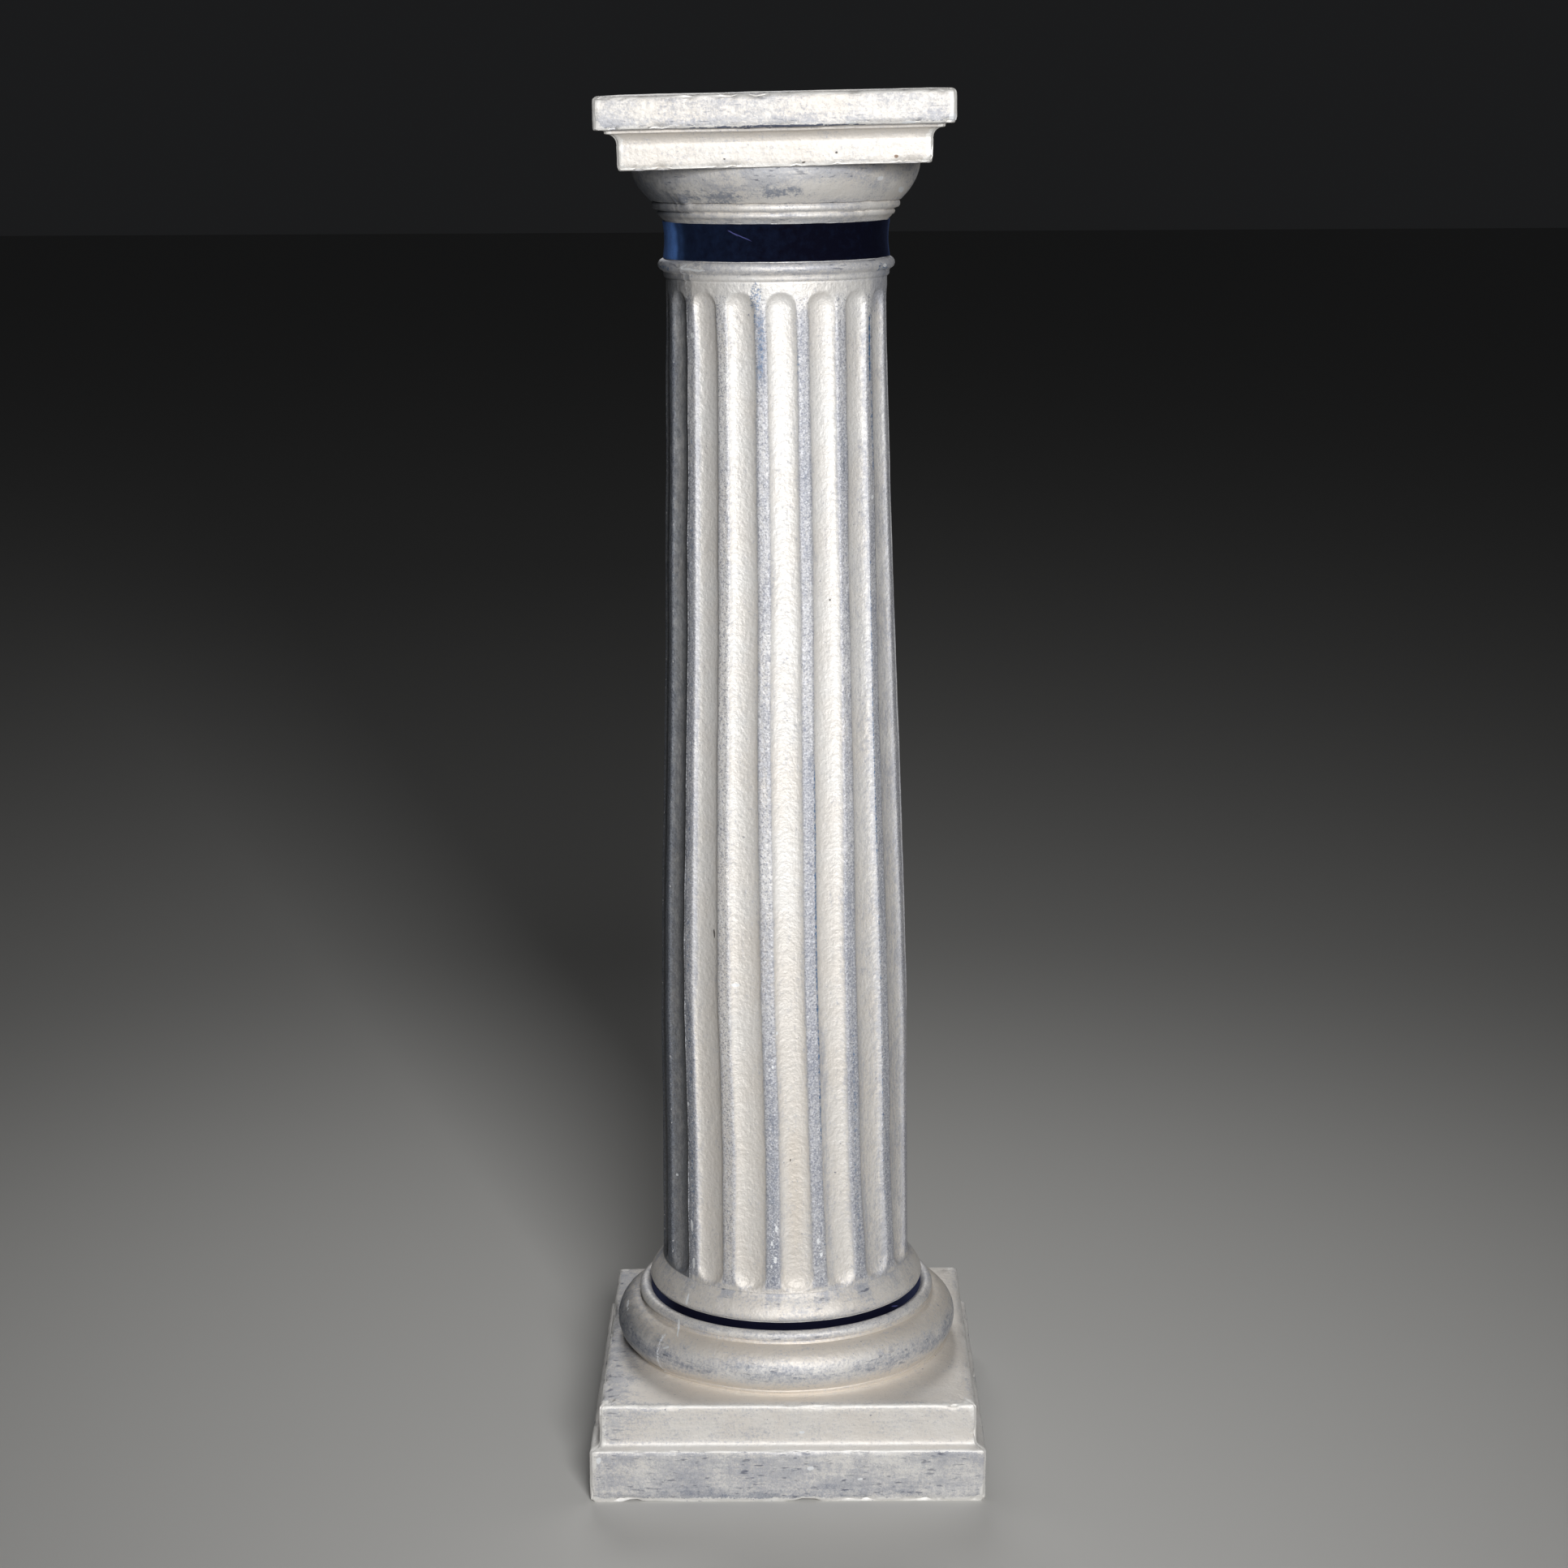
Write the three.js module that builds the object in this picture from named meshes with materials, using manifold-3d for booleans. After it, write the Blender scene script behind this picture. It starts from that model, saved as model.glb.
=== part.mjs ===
// A fluted Roman Doric pedestal column: one casting (capital, shaft, base and
// plinth) with a wide velvet ribbon round its necking and a narrow one round
// the cincture above the base roll. Millimetres, +Z up, origin at the middle
// of the underside. Angle 0 is the front (-Y); angles grow towards +X.
import * as THREE from 'three';
import { mergeVertices } from 'three/addons/utils/BufferGeometryUtils.js';
import Module from 'manifold-3d';

const wasm = await Module();
wasm.setup();

// ---------------------------------------------------------------- sizes, mm
const HEIGHT = 1220;              // underside to the top of the abacus
// plinth: two stacked square blocks with a coved ledge between them
const PLINTH_LOW_HALF = 175.7;    // half width of the lower block
const PLINTH_LOW_TOP = 49.1;
const PLINTH_UP_HALF = 167.2;     // half width of the upper block
const PLINTH_UP_FOOT = 52.9;
const PLINTH_TOP = 88.3;
// base roll (torus), the bead on it and the fillet that carries the ribbon
const TORUS_R = 134.2, TORUS_Z = 110.1, TORUS_RAD = 21.8;
const TORUS_TOE_R = 148.6;        // where the little foot cove meets the plinth
const BASE_BEAD_R = 130.6, BASE_BEAD_Z = 137.7, BASE_BEAD_RAD = 5.0;
const CINCTURE_R = 123.9;
const LIP_R = 125.2, LIP_Z = 151.4;     // convex shoulder above the cincture
const SHOULDER_TOP = 171.6;
// shaft: radius over the fillets at named heights (entasis)
const SHAFT = [[160, 113.2], [171.6, 113.3], [300, 112.9], [400, 112.4],
  [500, 110.2], [600, 107.2], [700, 104.0], [815, 101.0], [930, 98.2], [1064, 96.0]];
const SHAFT_CAP = 1064;
// flutes
const FLUTES = 17;
const FLUTE_SHARE = 0.70;         // flute width over flute plus fillet
const FLUTE_DEPTH = 5.6;
const FLUTE_FOOT = 172.6, FLUTE_HEAD = 1054.4;
const FLUTE_FOOT_LEN = 15, FLUTE_HEAD_LEN = 12.5;   // lengths of the round ends
const FIRST_FLUTE_FOOT_DEG = 5.4, FIRST_FLUTE_HEAD_DEG = 2.5;
// hand-set irregularity of each flute, in degrees, at its foot and its head
const DRIFT_FOOT = [0, 0.3, -0.3, -1.1, 0, 0.5, -0.4, 0.3, 0, -0.5, 0.4, 0, -0.4, -1.2, -0.3, 0.1, -1.1];
const DRIFT_HEAD = [0, 0.1, 0.9, 0.6, -0.3, 0.4, 0, -0.5, 0.3, 0, 0.5, -0.3, 0, 0.4, 0, 0.5, -0.5];
// how far each flute wanders from a straight run, in degrees, at these heights; the first row is for flutes out of sight
const WANDER_Z = [172.6, 281, 467, 648, 824, 995, 1054.4];
const WANDER_ALL = [0, -0.5, -1.5, -1.2, -0.2, 0.3, 0];
const WANDER = {
  14: [0, 0, -1.5, -0.2, 0, 1.2, 0], 15: [0, 0, -1.5, -1.1, 1.2, 1.4, 0], 16: [0, 1.1, -0.5, -1.0, -0.1, 0.3, 0],
  0: [0, -0.3, -1.1, -1.4, 0.8, 0.9, 0], 1: [0, -2.5, -4.2, -1.9, -1.0, 0.2, 0],
  2: [0, -3.8, -4.2, -3.0, -1.4, -0.4, 0], 3: [0, -3.6, -4.6, -5.8, -3.9, -2.6, -1.0],
};
// neck: small fillet, astragal, necking (waisted under the ribbon), two rings
const NECK_FILLET_R = 98.1;
const ASTRAGAL_R = 97.7, ASTRAGAL_Z = 1075.2, ASTRAGAL_RAD = 5.0;
const NECKING_LOW = 1080.7, NECKING_HIGH = 1112.3, NECKING_WAIST_R = 95.7, NECKING_SPREAD = 1.6;
const RING_LOW_R = 100.2, RING_LOW_Z = 1118.9, RING_LOW_RAD = 2.6;
const RING_HIGH_R = 103.2, RING_HIGH_Z = 1125.6, RING_HIGH_RAD = 4.0;
// echinus: a cubic curve from its foot to the underside of the abacus
const ECHINUS = [[108.3, 1129.5], [116.0, 1137.1], [124.3, 1146.6], [124.4, 1161.0]];
// abacus: thin lower slab, cavetto, thick upper slab
const ABACUS_LOW_HALF = 130.4, ABACUS_LOW_FOOT = 1159.6, ABACUS_LOW_TOP = 1180.1;
const CAVETTO_OUT = 138.5, CAVETTO_TOP = 1188.4;
const ABACUS_FILLET_HALF = 139.8, ABACUS_UP_FOOT = 1191.4, ABACUS_UP_HALF = 148.7;
// ribbons
const RIBBON_GAP = 0.35, RIBBON_THICK = 0.9;
const NECK_RIBBON_LOW = 1080.7, NECK_RIBBON_HIGH = 1112.3;    // 31.6 wide, a 32 mm ribbon
const BASE_RIBBON_LOW = 138.2, BASE_RIBBON_HIGH = 148.2;      // 10 wide
// the casting isn't true: it leans and its courses aren't level
const LEAN = [[0, 0], [60, 0], [PLINTH_TOP, 0], [100, -1.5], [300, -1.1], [640, -2.3], [1040, -5.1], [1400, -5.3]];
const SLOPE_DEG = [[0, 0], [PLINTH_TOP, 0], [100, 0.3], [1132, 0.3], [1159, 1.25], [1181, 1.1], [1191, 1.0], [1400, 1.0]];

const ROUND_SEGMENTS = 46;

// ---------------------------------------------------------------- helpers
const V = (x, y) => new THREE.Vector2(x, y);
const rad = THREE.MathUtils.degToRad;

function along(table, z) {                    // smooth value from a table
  const n = table.length;
  if (z <= table[0][0]) return table[0][1];
  if (z >= table[n - 1][0]) return table[n - 1][1];
  let i = 0;
  while (z > table[i + 1][0]) i += 1;
  const slope = (k) => {
    if (k <= 0 || k >= n - 1) return 0;
    const a = (table[k][1] - table[k - 1][1]) / (table[k][0] - table[k - 1][0]);
    const b = (table[k + 1][1] - table[k][1]) / (table[k + 1][0] - table[k][0]);
    return a * b <= 0 ? 0 : 2 * a * b / (a + b);
  };
  const h = table[i + 1][0] - table[i][0], t = (z - table[i][0]) / h;
  const t2 = t * t, t3 = t2 * t;
  return (2 * t3 - 3 * t2 + 1) * table[i][1] + (t3 - 2 * t2 + t) * h * slope(i)
    + (3 * t2 - 2 * t3) * table[i + 1][1] + (t3 - t2) * h * slope(i + 1);
}

function settle(geometry) {                   // lean and slope of the casting
  const p = geometry.attributes.position;
  for (let i = 0; i < p.count; i += 1) {
    const x = p.getX(i), z = p.getZ(i);
    p.setX(i, x + along(LEAN, z));
    p.setZ(i, z + x * Math.tan(rad(along(SLOPE_DEG, z))));
  }
  return geometry;
}

function closed(geometry) {                   // shared vertices, no empty faces
  geometry.deleteAttribute('normal');
  geometry.deleteAttribute('uv');
  const merged = mergeVertices(geometry, 1e-4);
  const src = merged.index.array, index = [];
  for (let i = 0; i < src.length; i += 3) {
    const [a, b, c] = [src[i], src[i + 1], src[i + 2]];
    if (a !== b && b !== c && c !== a) index.push(a, b, c);
  }
  merged.setIndex(index);
  return merged;
}

function outward(geometry) {                  // turn the faces out if they face in
  const p = geometry.attributes.position, ix = geometry.index.array;
  const a = new THREE.Vector3(), b = new THREE.Vector3(), c = new THREE.Vector3();
  let volume = 0;
  for (let i = 0; i < ix.length; i += 3) {
    a.fromBufferAttribute(p, ix[i]); b.fromBufferAttribute(p, ix[i + 1]); c.fromBufferAttribute(p, ix[i + 2]);
    volume += a.dot(b.cross(c));
  }
  if (volume < 0) for (let i = 0; i < ix.length; i += 3) [ix[i], ix[i + 1]] = [ix[i + 1], ix[i]];
  return geometry;
}

// A lathe whose ring of points may be set by place(j, i, r, z) -> [x, y].
function turned(profile, segments, place) {
  const g = new THREE.LatheGeometry(profile, segments);
  const p = g.attributes.position, n = profile.length;
  for (let j = 0; j <= segments; j += 1) {
    for (let i = 0; i < n; i += 1) {
      const k = j * n + i, { x: r, y: z } = profile[i];
      const [x, y] = r < 1e-6 ? [0, 0] : place(j % segments, i, r, z);
      p.setXYZ(k, x, y, z);
    }
  }
  return outward(closed(g));
}

const round = (profile, segments = ROUND_SEGMENTS) => turned(profile, segments, (j, i, r) => {
  const a = (j / segments) * 2 * Math.PI;
  return [r * Math.sin(a), -r * Math.cos(a)];
});

// square in plan with rounded corners: three points to a corner
const square = (profile, corner) => turned(profile, 12, (j, i, r) => {
  const quarter = Math.floor(j / 3), a = rad(-90 + quarter * 90 + (j % 3) * 45);
  const rc = Math.min(corner, r * 0.5);
  const sx = [1, 1, -1, -1][quarter], sy = [-1, 1, 1, -1][quarter];
  return [sx * (r - rc) + rc * Math.cos(a), sy * (r - rc) + rc * Math.sin(a)];
});

const arc = (r, z, radius, from, to, steps) => Array.from({ length: steps + 1 }, (_, k) => {
  const a = rad(from + (to - from) * (k / steps));
  return V(r + radius * Math.cos(a), z + radius * Math.sin(a));
});

function solid(geometry) {
  const p = geometry.attributes.position;
  return new wasm.Manifold(new wasm.Mesh({
    numProp: 3, vertProperties: Float32Array.from(p.array), triVerts: Uint32Array.from(geometry.index.array),
  }));
}

function bodyOf(manifold) {
  const m = manifold.getMesh();
  const g = new THREE.BufferGeometry();
  g.setAttribute('position', new THREE.BufferAttribute(Float32Array.from(m.vertProperties), 3));
  g.setIndex(Array.from(m.triVerts));
  return g;
}

// ---------------------------------------------------------------- plinth
const plinth = square([
  V(0, 0), V(PLINTH_LOW_HALF - 1.4, 0), V(PLINTH_LOW_HALF, 1.6), V(PLINTH_LOW_HALF, PLINTH_LOW_TOP - 2.4),
  V(PLINTH_LOW_HALF - 1.0, PLINTH_LOW_TOP - 0.5), V(PLINTH_LOW_HALF - 2.6, PLINTH_LOW_TOP),
  V(PLINTH_UP_HALF + 2.2, PLINTH_LOW_TOP + 0.9), V(PLINTH_UP_HALF + 0.5, PLINTH_UP_FOOT - 1),
  V(PLINTH_UP_HALF, PLINTH_UP_FOOT + 1.6), V(PLINTH_UP_HALF - 0.3, PLINTH_TOP - 3.4),
  V(PLINTH_UP_HALF - 1.2, PLINTH_TOP - 1.1), V(PLINTH_UP_HALF - 3.4, PLINTH_TOP), V(0, PLINTH_TOP),
], 3);

// ---------------------------------------------------------------- base
const base = round([
  V(0, 80), V(TORUS_TOE_R + 1, 80), V(TORUS_TOE_R, PLINTH_TOP - 0.2), V(TORUS_TOE_R - 2.2, PLINTH_TOP + 1.6),
  ...arc(TORUS_R, TORUS_Z, TORUS_RAD, -52, 78, 7),
  V(BASE_BEAD_R + 4.0, TORUS_Z + TORUS_RAD - 0.1),
  ...arc(BASE_BEAD_R, BASE_BEAD_Z, BASE_BEAD_RAD, -30, 190, 4),
  V(CINCTURE_R, BASE_RIBBON_LOW - 1.0), V(CINCTURE_R, BASE_RIBBON_HIGH + 0.4),
  V(LIP_R, LIP_Z - 1.6), V(LIP_R, LIP_Z + 1.2), V(LIP_R - 2.4, LIP_Z + 6.8),
  V(LIP_R - 6.4, LIP_Z + 12.4), V(SHAFT[1][1] + 0.2, SHOULDER_TOP - 1), V(SHAFT[1][1] - 1.2, SHOULDER_TOP + 0.4), V(0, SHOULDER_TOP + 0.4),
]);

// ---------------------------------------------------------------- shaft
// per pitch: one fillet, then the flute in five steps
const FILLET_HALF = (1 - FLUTE_SHARE) / 2;
const STEPS = [FILLET_HALF, FILLET_HALF + 0.09, 0.5 - 0.11, 0.5 + 0.11, 1 - FILLET_HALF - 0.09, 1 - FILLET_HALF];
const shaftLevels = [
  160, FLUTE_FOOT, FLUTE_FOOT + 1.2, FLUTE_FOOT + 4, FLUTE_FOOT + 8.5, FLUTE_FOOT + FLUTE_FOOT_LEN,
  290, 467, 648, 850,
  FLUTE_HEAD - FLUTE_HEAD_LEN, FLUTE_HEAD - 7, FLUTE_HEAD - 3.2, FLUTE_HEAD - 0.9, FLUTE_HEAD, SHAFT_CAP,
];
const shaftProfile = [V(0, 160), ...shaftLevels.map((z) => V(along(SHAFT, z), z)), V(0, SHAFT_CAP)];

function fluteDepth(across, z, halfWidth) {   // across: -1 to 1 over the flute
  if (z <= FLUTE_FOOT || z >= FLUTE_HEAD) return 0;
  let end = 0;
  if (z < FLUTE_FOOT + FLUTE_FOOT_LEN) end = (FLUTE_FOOT + FLUTE_FOOT_LEN - z) / FLUTE_FOOT_LEN;
  if (z > FLUTE_HEAD - FLUTE_HEAD_LEN) end = (z - FLUTE_HEAD + FLUTE_HEAD_LEN) / FLUTE_HEAD_LEN;
  const q = 1 - across * across - end * end;
  return q <= 0 ? 0 : FLUTE_DEPTH * Math.sqrt(q);
}

const nth = (k) => ((k % FLUTES) + FLUTES) % FLUTES;
const stray = (k, z) => along(WANDER_Z.map((level, i) => [level, (WANDER[nth(k)] ?? WANDER_ALL)[i]]), z);

function shaftAngle(flute, part, z) {         // part: 0 to 1 from mid fillet to mid fillet
  const t = THREE.MathUtils.clamp((z - FLUTE_FOOT) / (FLUTE_HEAD - FLUTE_FOOT), 0, 1);
  const mid = (k) => FIRST_FLUTE_FOOT_DEG + (FIRST_FLUTE_HEAD_DEG - FIRST_FLUTE_FOOT_DEG) * t + k * 360 / FLUTES
    + DRIFT_FOOT[nth(k)] * (1 - t) + DRIFT_HEAD[nth(k)] * t + stray(k, z);
  const low = (mid(flute - 1) + mid(flute)) / 2, high = (mid(flute) + mid(flute + 1)) / 2;
  return rad(low + (high - low) * part);
}

const shaft = turned(shaftProfile, FLUTES * STEPS.length, (j, i, r, z) => {
  const flute = Math.floor(j / STEPS.length), part = STEPS[j % STEPS.length];
  const a = shaftAngle(flute, part, z), across = (part - 0.5) / (0.5 - FILLET_HALF);
  const q = r - fluteDepth(across * 0.999, z);
  return [q * Math.sin(a), -q * Math.cos(a)];
});

// ---------------------------------------------------------------- capital
const neckingR = (z) => {
  const mid = (NECKING_LOW + NECKING_HIGH) / 2, half = (NECKING_HIGH - NECKING_LOW) / 2;
  return NECKING_WAIST_R + NECKING_SPREAD * ((z - mid) / half) ** 2;
};
const bezier = (p, steps) => new THREE.CubicBezierCurve(...p.map(([x, y]) => V(x, y))).getPoints(steps);
const capital = round([
  V(0, 1058), V(95.5, 1058), V(95.7, SHAFT_CAP + 0.4), V(NECK_FILLET_R, SHAFT_CAP + 2.4), V(NECK_FILLET_R, ASTRAGAL_Z - 5.4),
  ...arc(ASTRAGAL_R, ASTRAGAL_Z, ASTRAGAL_RAD, -60, 78, 3),
  V(neckingR(NECKING_LOW), NECKING_LOW - 0.4), V(neckingR(1096.5), 1096.5), V(neckingR(NECKING_HIGH), NECKING_HIGH + 0.4),
  V(RING_LOW_R + 0.6, RING_LOW_Z - 2.7), V(RING_LOW_R + RING_LOW_RAD, RING_LOW_Z), V(RING_LOW_R + 1.5, RING_LOW_Z + 2.5),
  V(RING_HIGH_R + 1.9, RING_HIGH_Z - 3.5), V(RING_HIGH_R + RING_HIGH_RAD, RING_HIGH_Z), V(RING_HIGH_R + 3.0, RING_HIGH_Z + 3.7),
  ...bezier(ECHINUS, 4), V(0, ECHINUS[3][1]),
]);

// ---------------------------------------------------------------- abacus
const cavetto = [0, 1, 2, 3].map((k) => {
  const a = rad(90 * k / 3), w = CAVETTO_OUT - ABACUS_LOW_HALF, h = CAVETTO_TOP - ABACUS_LOW_TOP - 0.8;
  return V(CAVETTO_OUT - w * Math.cos(a), ABACUS_LOW_TOP + 0.8 + h * Math.sin(a));
});
const abacus = square([
  V(0, ABACUS_LOW_FOOT), V(ABACUS_LOW_HALF - 3.2, ABACUS_LOW_FOOT), V(ABACUS_LOW_HALF - 1.4, ABACUS_LOW_FOOT + 1),
  V(ABACUS_LOW_HALF, ABACUS_LOW_TOP - 0.8), V(ABACUS_LOW_HALF - 0.6, ABACUS_LOW_TOP), ...cavetto,
  V(ABACUS_FILLET_HALF, CAVETTO_TOP + 0.4), V(ABACUS_FILLET_HALF, ABACUS_UP_FOOT),
  V(ABACUS_UP_HALF - 1.4, ABACUS_UP_FOOT), V(ABACUS_UP_HALF, ABACUS_UP_FOOT + 1.4),
  V(ABACUS_UP_HALF, HEIGHT - 3.4), V(ABACUS_UP_HALF - 1, HEIGHT - 1.2), V(ABACUS_UP_HALF - 3.2, HEIGHT), V(0, HEIGHT),
], 3);

let casting = solid(settle(plinth));
for (const g of [base, shaft, capital, abacus]) casting = casting.add(solid(settle(g)));

// ---------------------------------------------------------------- ribbons
function ribbon(inner, levels) {              // a closed ring of cloth
  const inside = levels.map((z) => V(inner(z), z));
  const outside = levels.map((z) => V(inner(z) + RIBBON_THICK, z)).reverse();
  return settle(round([...inside, ...outside, inside[0]]));
}
const neckRibbon = ribbon((z) => neckingR(z) + RIBBON_GAP,
  [NECK_RIBBON_LOW, (NECK_RIBBON_LOW + NECK_RIBBON_HIGH) / 2, NECK_RIBBON_HIGH]);
const baseRibbon = ribbon(() => CINCTURE_R + RIBBON_GAP, [BASE_RIBBON_LOW, BASE_RIBBON_HIGH]);

// ---------------------------------------------------------------- the group
const plaster = new THREE.MeshStandardMaterial({ color: '#cfccc4', roughness: 0.48, metalness: 0.15 });
const navyWide = new THREE.MeshStandardMaterial({ color: '#0c1430', roughness: 0.85, metalness: 0 });
const navyNarrow = new THREE.MeshStandardMaterial({ color: '#10142c', roughness: 0.88, metalness: 0 });

function piece(name, geometry, material) {
  const mesh = new THREE.Mesh(geometry, material);
  geometry.computeVertexNormals();
  mesh.name = name;
  return mesh;
}

const column = new THREE.Group();
column.add(
  piece('column', bodyOf(casting), plaster),
  piece('neck_ribbon', neckRibbon, navyWide),
  piece('base_ribbon', baseRibbon, navyNarrow),
);

export default column;
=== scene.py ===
import math
import bpy
import numpy as np
from mathutils import Euler, Matrix, Vector


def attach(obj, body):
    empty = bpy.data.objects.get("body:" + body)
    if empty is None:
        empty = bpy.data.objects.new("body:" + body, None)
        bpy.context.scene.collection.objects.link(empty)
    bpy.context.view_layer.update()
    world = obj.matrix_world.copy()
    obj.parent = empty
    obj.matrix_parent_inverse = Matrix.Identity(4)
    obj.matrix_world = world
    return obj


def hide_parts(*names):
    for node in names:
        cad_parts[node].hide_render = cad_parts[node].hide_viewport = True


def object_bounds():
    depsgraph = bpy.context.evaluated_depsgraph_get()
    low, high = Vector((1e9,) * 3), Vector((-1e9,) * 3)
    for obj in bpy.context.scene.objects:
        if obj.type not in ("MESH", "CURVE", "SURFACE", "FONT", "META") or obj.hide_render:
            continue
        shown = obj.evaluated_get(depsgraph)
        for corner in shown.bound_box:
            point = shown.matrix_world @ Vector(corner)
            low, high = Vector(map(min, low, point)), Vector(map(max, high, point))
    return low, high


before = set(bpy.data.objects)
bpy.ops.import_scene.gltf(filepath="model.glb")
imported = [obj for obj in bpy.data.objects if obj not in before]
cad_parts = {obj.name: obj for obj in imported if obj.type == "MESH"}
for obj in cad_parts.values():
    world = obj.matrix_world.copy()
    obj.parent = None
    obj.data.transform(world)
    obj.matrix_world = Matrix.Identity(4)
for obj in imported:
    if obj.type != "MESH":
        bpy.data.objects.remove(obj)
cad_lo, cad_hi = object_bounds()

MM = 0.001

# ------------------------------------------------------------------ sizes, mm
# the same named sizes as the part's source; angle 0 is the front (-Y) and
# angles grow towards +X
HEIGHT = 1220.0
PLINTH_LOW_HALF, PLINTH_LOW_TOP = 175.7, 49.1
PLINTH_UP_HALF, PLINTH_UP_FOOT, PLINTH_TOP = 167.2, 52.9, 88.3
TORUS_R, TORUS_Z, TORUS_RAD, TORUS_TOE_R = 134.2, 110.1, 21.8, 148.6
BASE_BEAD_R, BASE_BEAD_Z, BASE_BEAD_RAD = 130.6, 137.7, 5.0
CINCTURE_R = 123.9
LIP_R, LIP_Z, SHOULDER_TOP = 125.2, 151.4, 171.6
SHAFT = [[160, 113.2], [171.6, 113.3], [300, 112.9], [400, 112.4], [500, 110.2],
         [600, 107.2], [700, 104.0], [815, 101.0], [930, 98.2], [1064, 96.0]]
SHAFT_CAP = 1064.0
FLUTES, FLUTE_SHARE, FLUTE_DEPTH = 17, 0.70, 5.6
FLUTE_FOOT, FLUTE_HEAD = 172.6, 1054.4
FLUTE_FOOT_LEN, FLUTE_HEAD_LEN = 15.0, 12.5
FIRST_FLUTE_FOOT_DEG, FIRST_FLUTE_HEAD_DEG = 5.4, 2.5
DRIFT_FOOT = np.array([0, 0.3, -0.3, -1.1, 0, 0.5, -0.4, 0.3, 0, -0.5, 0.4, 0, -0.4, -1.2, -0.3, 0.1, -1.1])
DRIFT_HEAD = np.array([0, 0.1, 0.9, 0.6, -0.3, 0.4, 0, -0.5, 0.3, 0, 0.5, -0.3, 0, 0.4, 0, 0.5, -0.5])
# how far each flute wanders from a straight run, in degrees, at these heights
WANDER_Z = [172.6, 281, 467, 648, 824, 995, 1054.4]
WANDER_ALL = [0, -0.5, -1.5, -1.2, -0.2, 0.3, 0]         # flutes out of sight
WANDER = {14: [0, 0, -1.5, -0.2, 0, 1.2, 0], 15: [0, 0, -1.5, -1.1, 1.2, 1.4, 0], 16: [0, 1.1, -0.5, -1.0, -0.1, 0.3, 0],
          0: [0, -0.3, -1.1, -1.4, 0.8, 0.9, 0], 1: [0, -2.5, -4.2, -1.9, -1.0, 0.2, 0], 2: [0, -3.8, -4.2, -3.0, -1.4, -0.4, 0],
          3: [0, -3.6, -4.6, -5.8, -3.9, -2.6, -1.0]}
NECK_FILLET_R = 98.1
ASTRAGAL_R, ASTRAGAL_Z, ASTRAGAL_RAD = 97.7, 1075.2, 5.0
NECKING_LOW, NECKING_HIGH, NECKING_WAIST_R, NECKING_SPREAD = 1080.7, 1112.3, 95.7, 1.6
RING_LOW_R, RING_LOW_Z, RING_LOW_RAD = 100.2, 1118.9, 2.6
RING_HIGH_R, RING_HIGH_Z, RING_HIGH_RAD = 103.2, 1125.6, 4.0
ECHINUS = np.array([[108.3, 1129.5], [116.0, 1137.1], [124.3, 1146.6], [124.4, 1161.0]])
ABACUS_LOW_HALF, ABACUS_LOW_FOOT, ABACUS_LOW_TOP = 130.4, 1159.6, 1180.1
CAVETTO_OUT, CAVETTO_TOP = 138.5, 1188.4
ABACUS_FILLET_HALF, ABACUS_UP_FOOT, ABACUS_UP_HALF = 139.8, 1191.4, 148.7
RIBBON_GAP, RIBBON_THICK = 0.35, 0.9
NECK_RIBBON_LOW, NECK_RIBBON_HIGH = 1080.7, 1112.3
BASE_RIBBON_LOW, BASE_RIBBON_HIGH = 138.2, 148.2
LEAN = [[0, 0], [60, 0], [PLINTH_TOP, 0], [100, -1.5], [300, -1.1], [640, -2.3], [1040, -5.1], [1400, -5.3]]
SLOPE_DEG = [[0, 0], [PLINTH_TOP, 0], [100, 0.3], [1132, 0.3], [1159, 1.25], [1181, 1.1], [1191, 1.0], [1400, 1.0]]


# ------------------------------------------------------------------ helpers
def along(table, z):
    """Smooth value from a table (monotone cubic), for an array of heights."""
    t = np.asarray(table, float)
    x, y = t[:, 0], t[:, 1]
    z = np.asarray(z, float)
    d = np.diff(y) / np.diff(x)
    m = np.zeros(len(x))
    a, b = d[:-1], d[1:]
    with np.errstate(divide="ignore", invalid="ignore"):
        m[1:-1] = np.where(a * b <= 0, 0.0, 2 * a * b / np.where(a + b == 0, 1, a + b))
    i = np.clip(np.searchsorted(x, z, side="right") - 1, 0, len(x) - 2)
    h = x[i + 1] - x[i]
    u = np.clip((z - x[i]) / h, 0, 1)
    u2, u3 = u * u, u * u * u
    return ((2 * u3 - 3 * u2 + 1) * y[i] + (u3 - 2 * u2 + u) * h * m[i]
            + (3 * u2 - 2 * u3) * y[i + 1] + (u3 - u2) * h * m[i + 1])


def settle(x, z):
    """Lean and slope of the casting."""
    return x + along(LEAN, z), z + x * np.tan(np.radians(along(SLOPE_DEG, z)))


def lattice(ix, iy, iz, seed):
    h = (ix.astype(np.int64) * 73856093) ^ (iy.astype(np.int64) * 19349663) ^ (iz.astype(np.int64) * 83492791)
    h = (h ^ (seed * 2654435761)) & 0xFFFFFFFF
    h = ((h ^ (h >> 15)) * 2246822519) & 0xFFFFFFFF
    h = ((h ^ (h >> 13)) * 3266489917) & 0xFFFFFFFF
    h = h ^ (h >> 16)
    return h / 4294967295.0 * 2 - 1


def noise(x, y, z, seed):
    """Value noise from -1 to 1, one cell per unit."""
    fx, fy, fz = np.floor(x), np.floor(y), np.floor(z)
    u, v, w = x - fx, y - fy, z - fz
    u, v, w = [t * t * t * (t * (t * 6 - 15) + 10) for t in (u, v, w)]
    out = 0.0
    for dx in (0, 1):
        for dy in (0, 1):
            for dz in (0, 1):
                k = (u if dx else 1 - u) * (v if dy else 1 - v) * (w if dz else 1 - w)
                out = out + k * lattice(fx + dx, fy + dy, fz + dz, seed)
    return out


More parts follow.
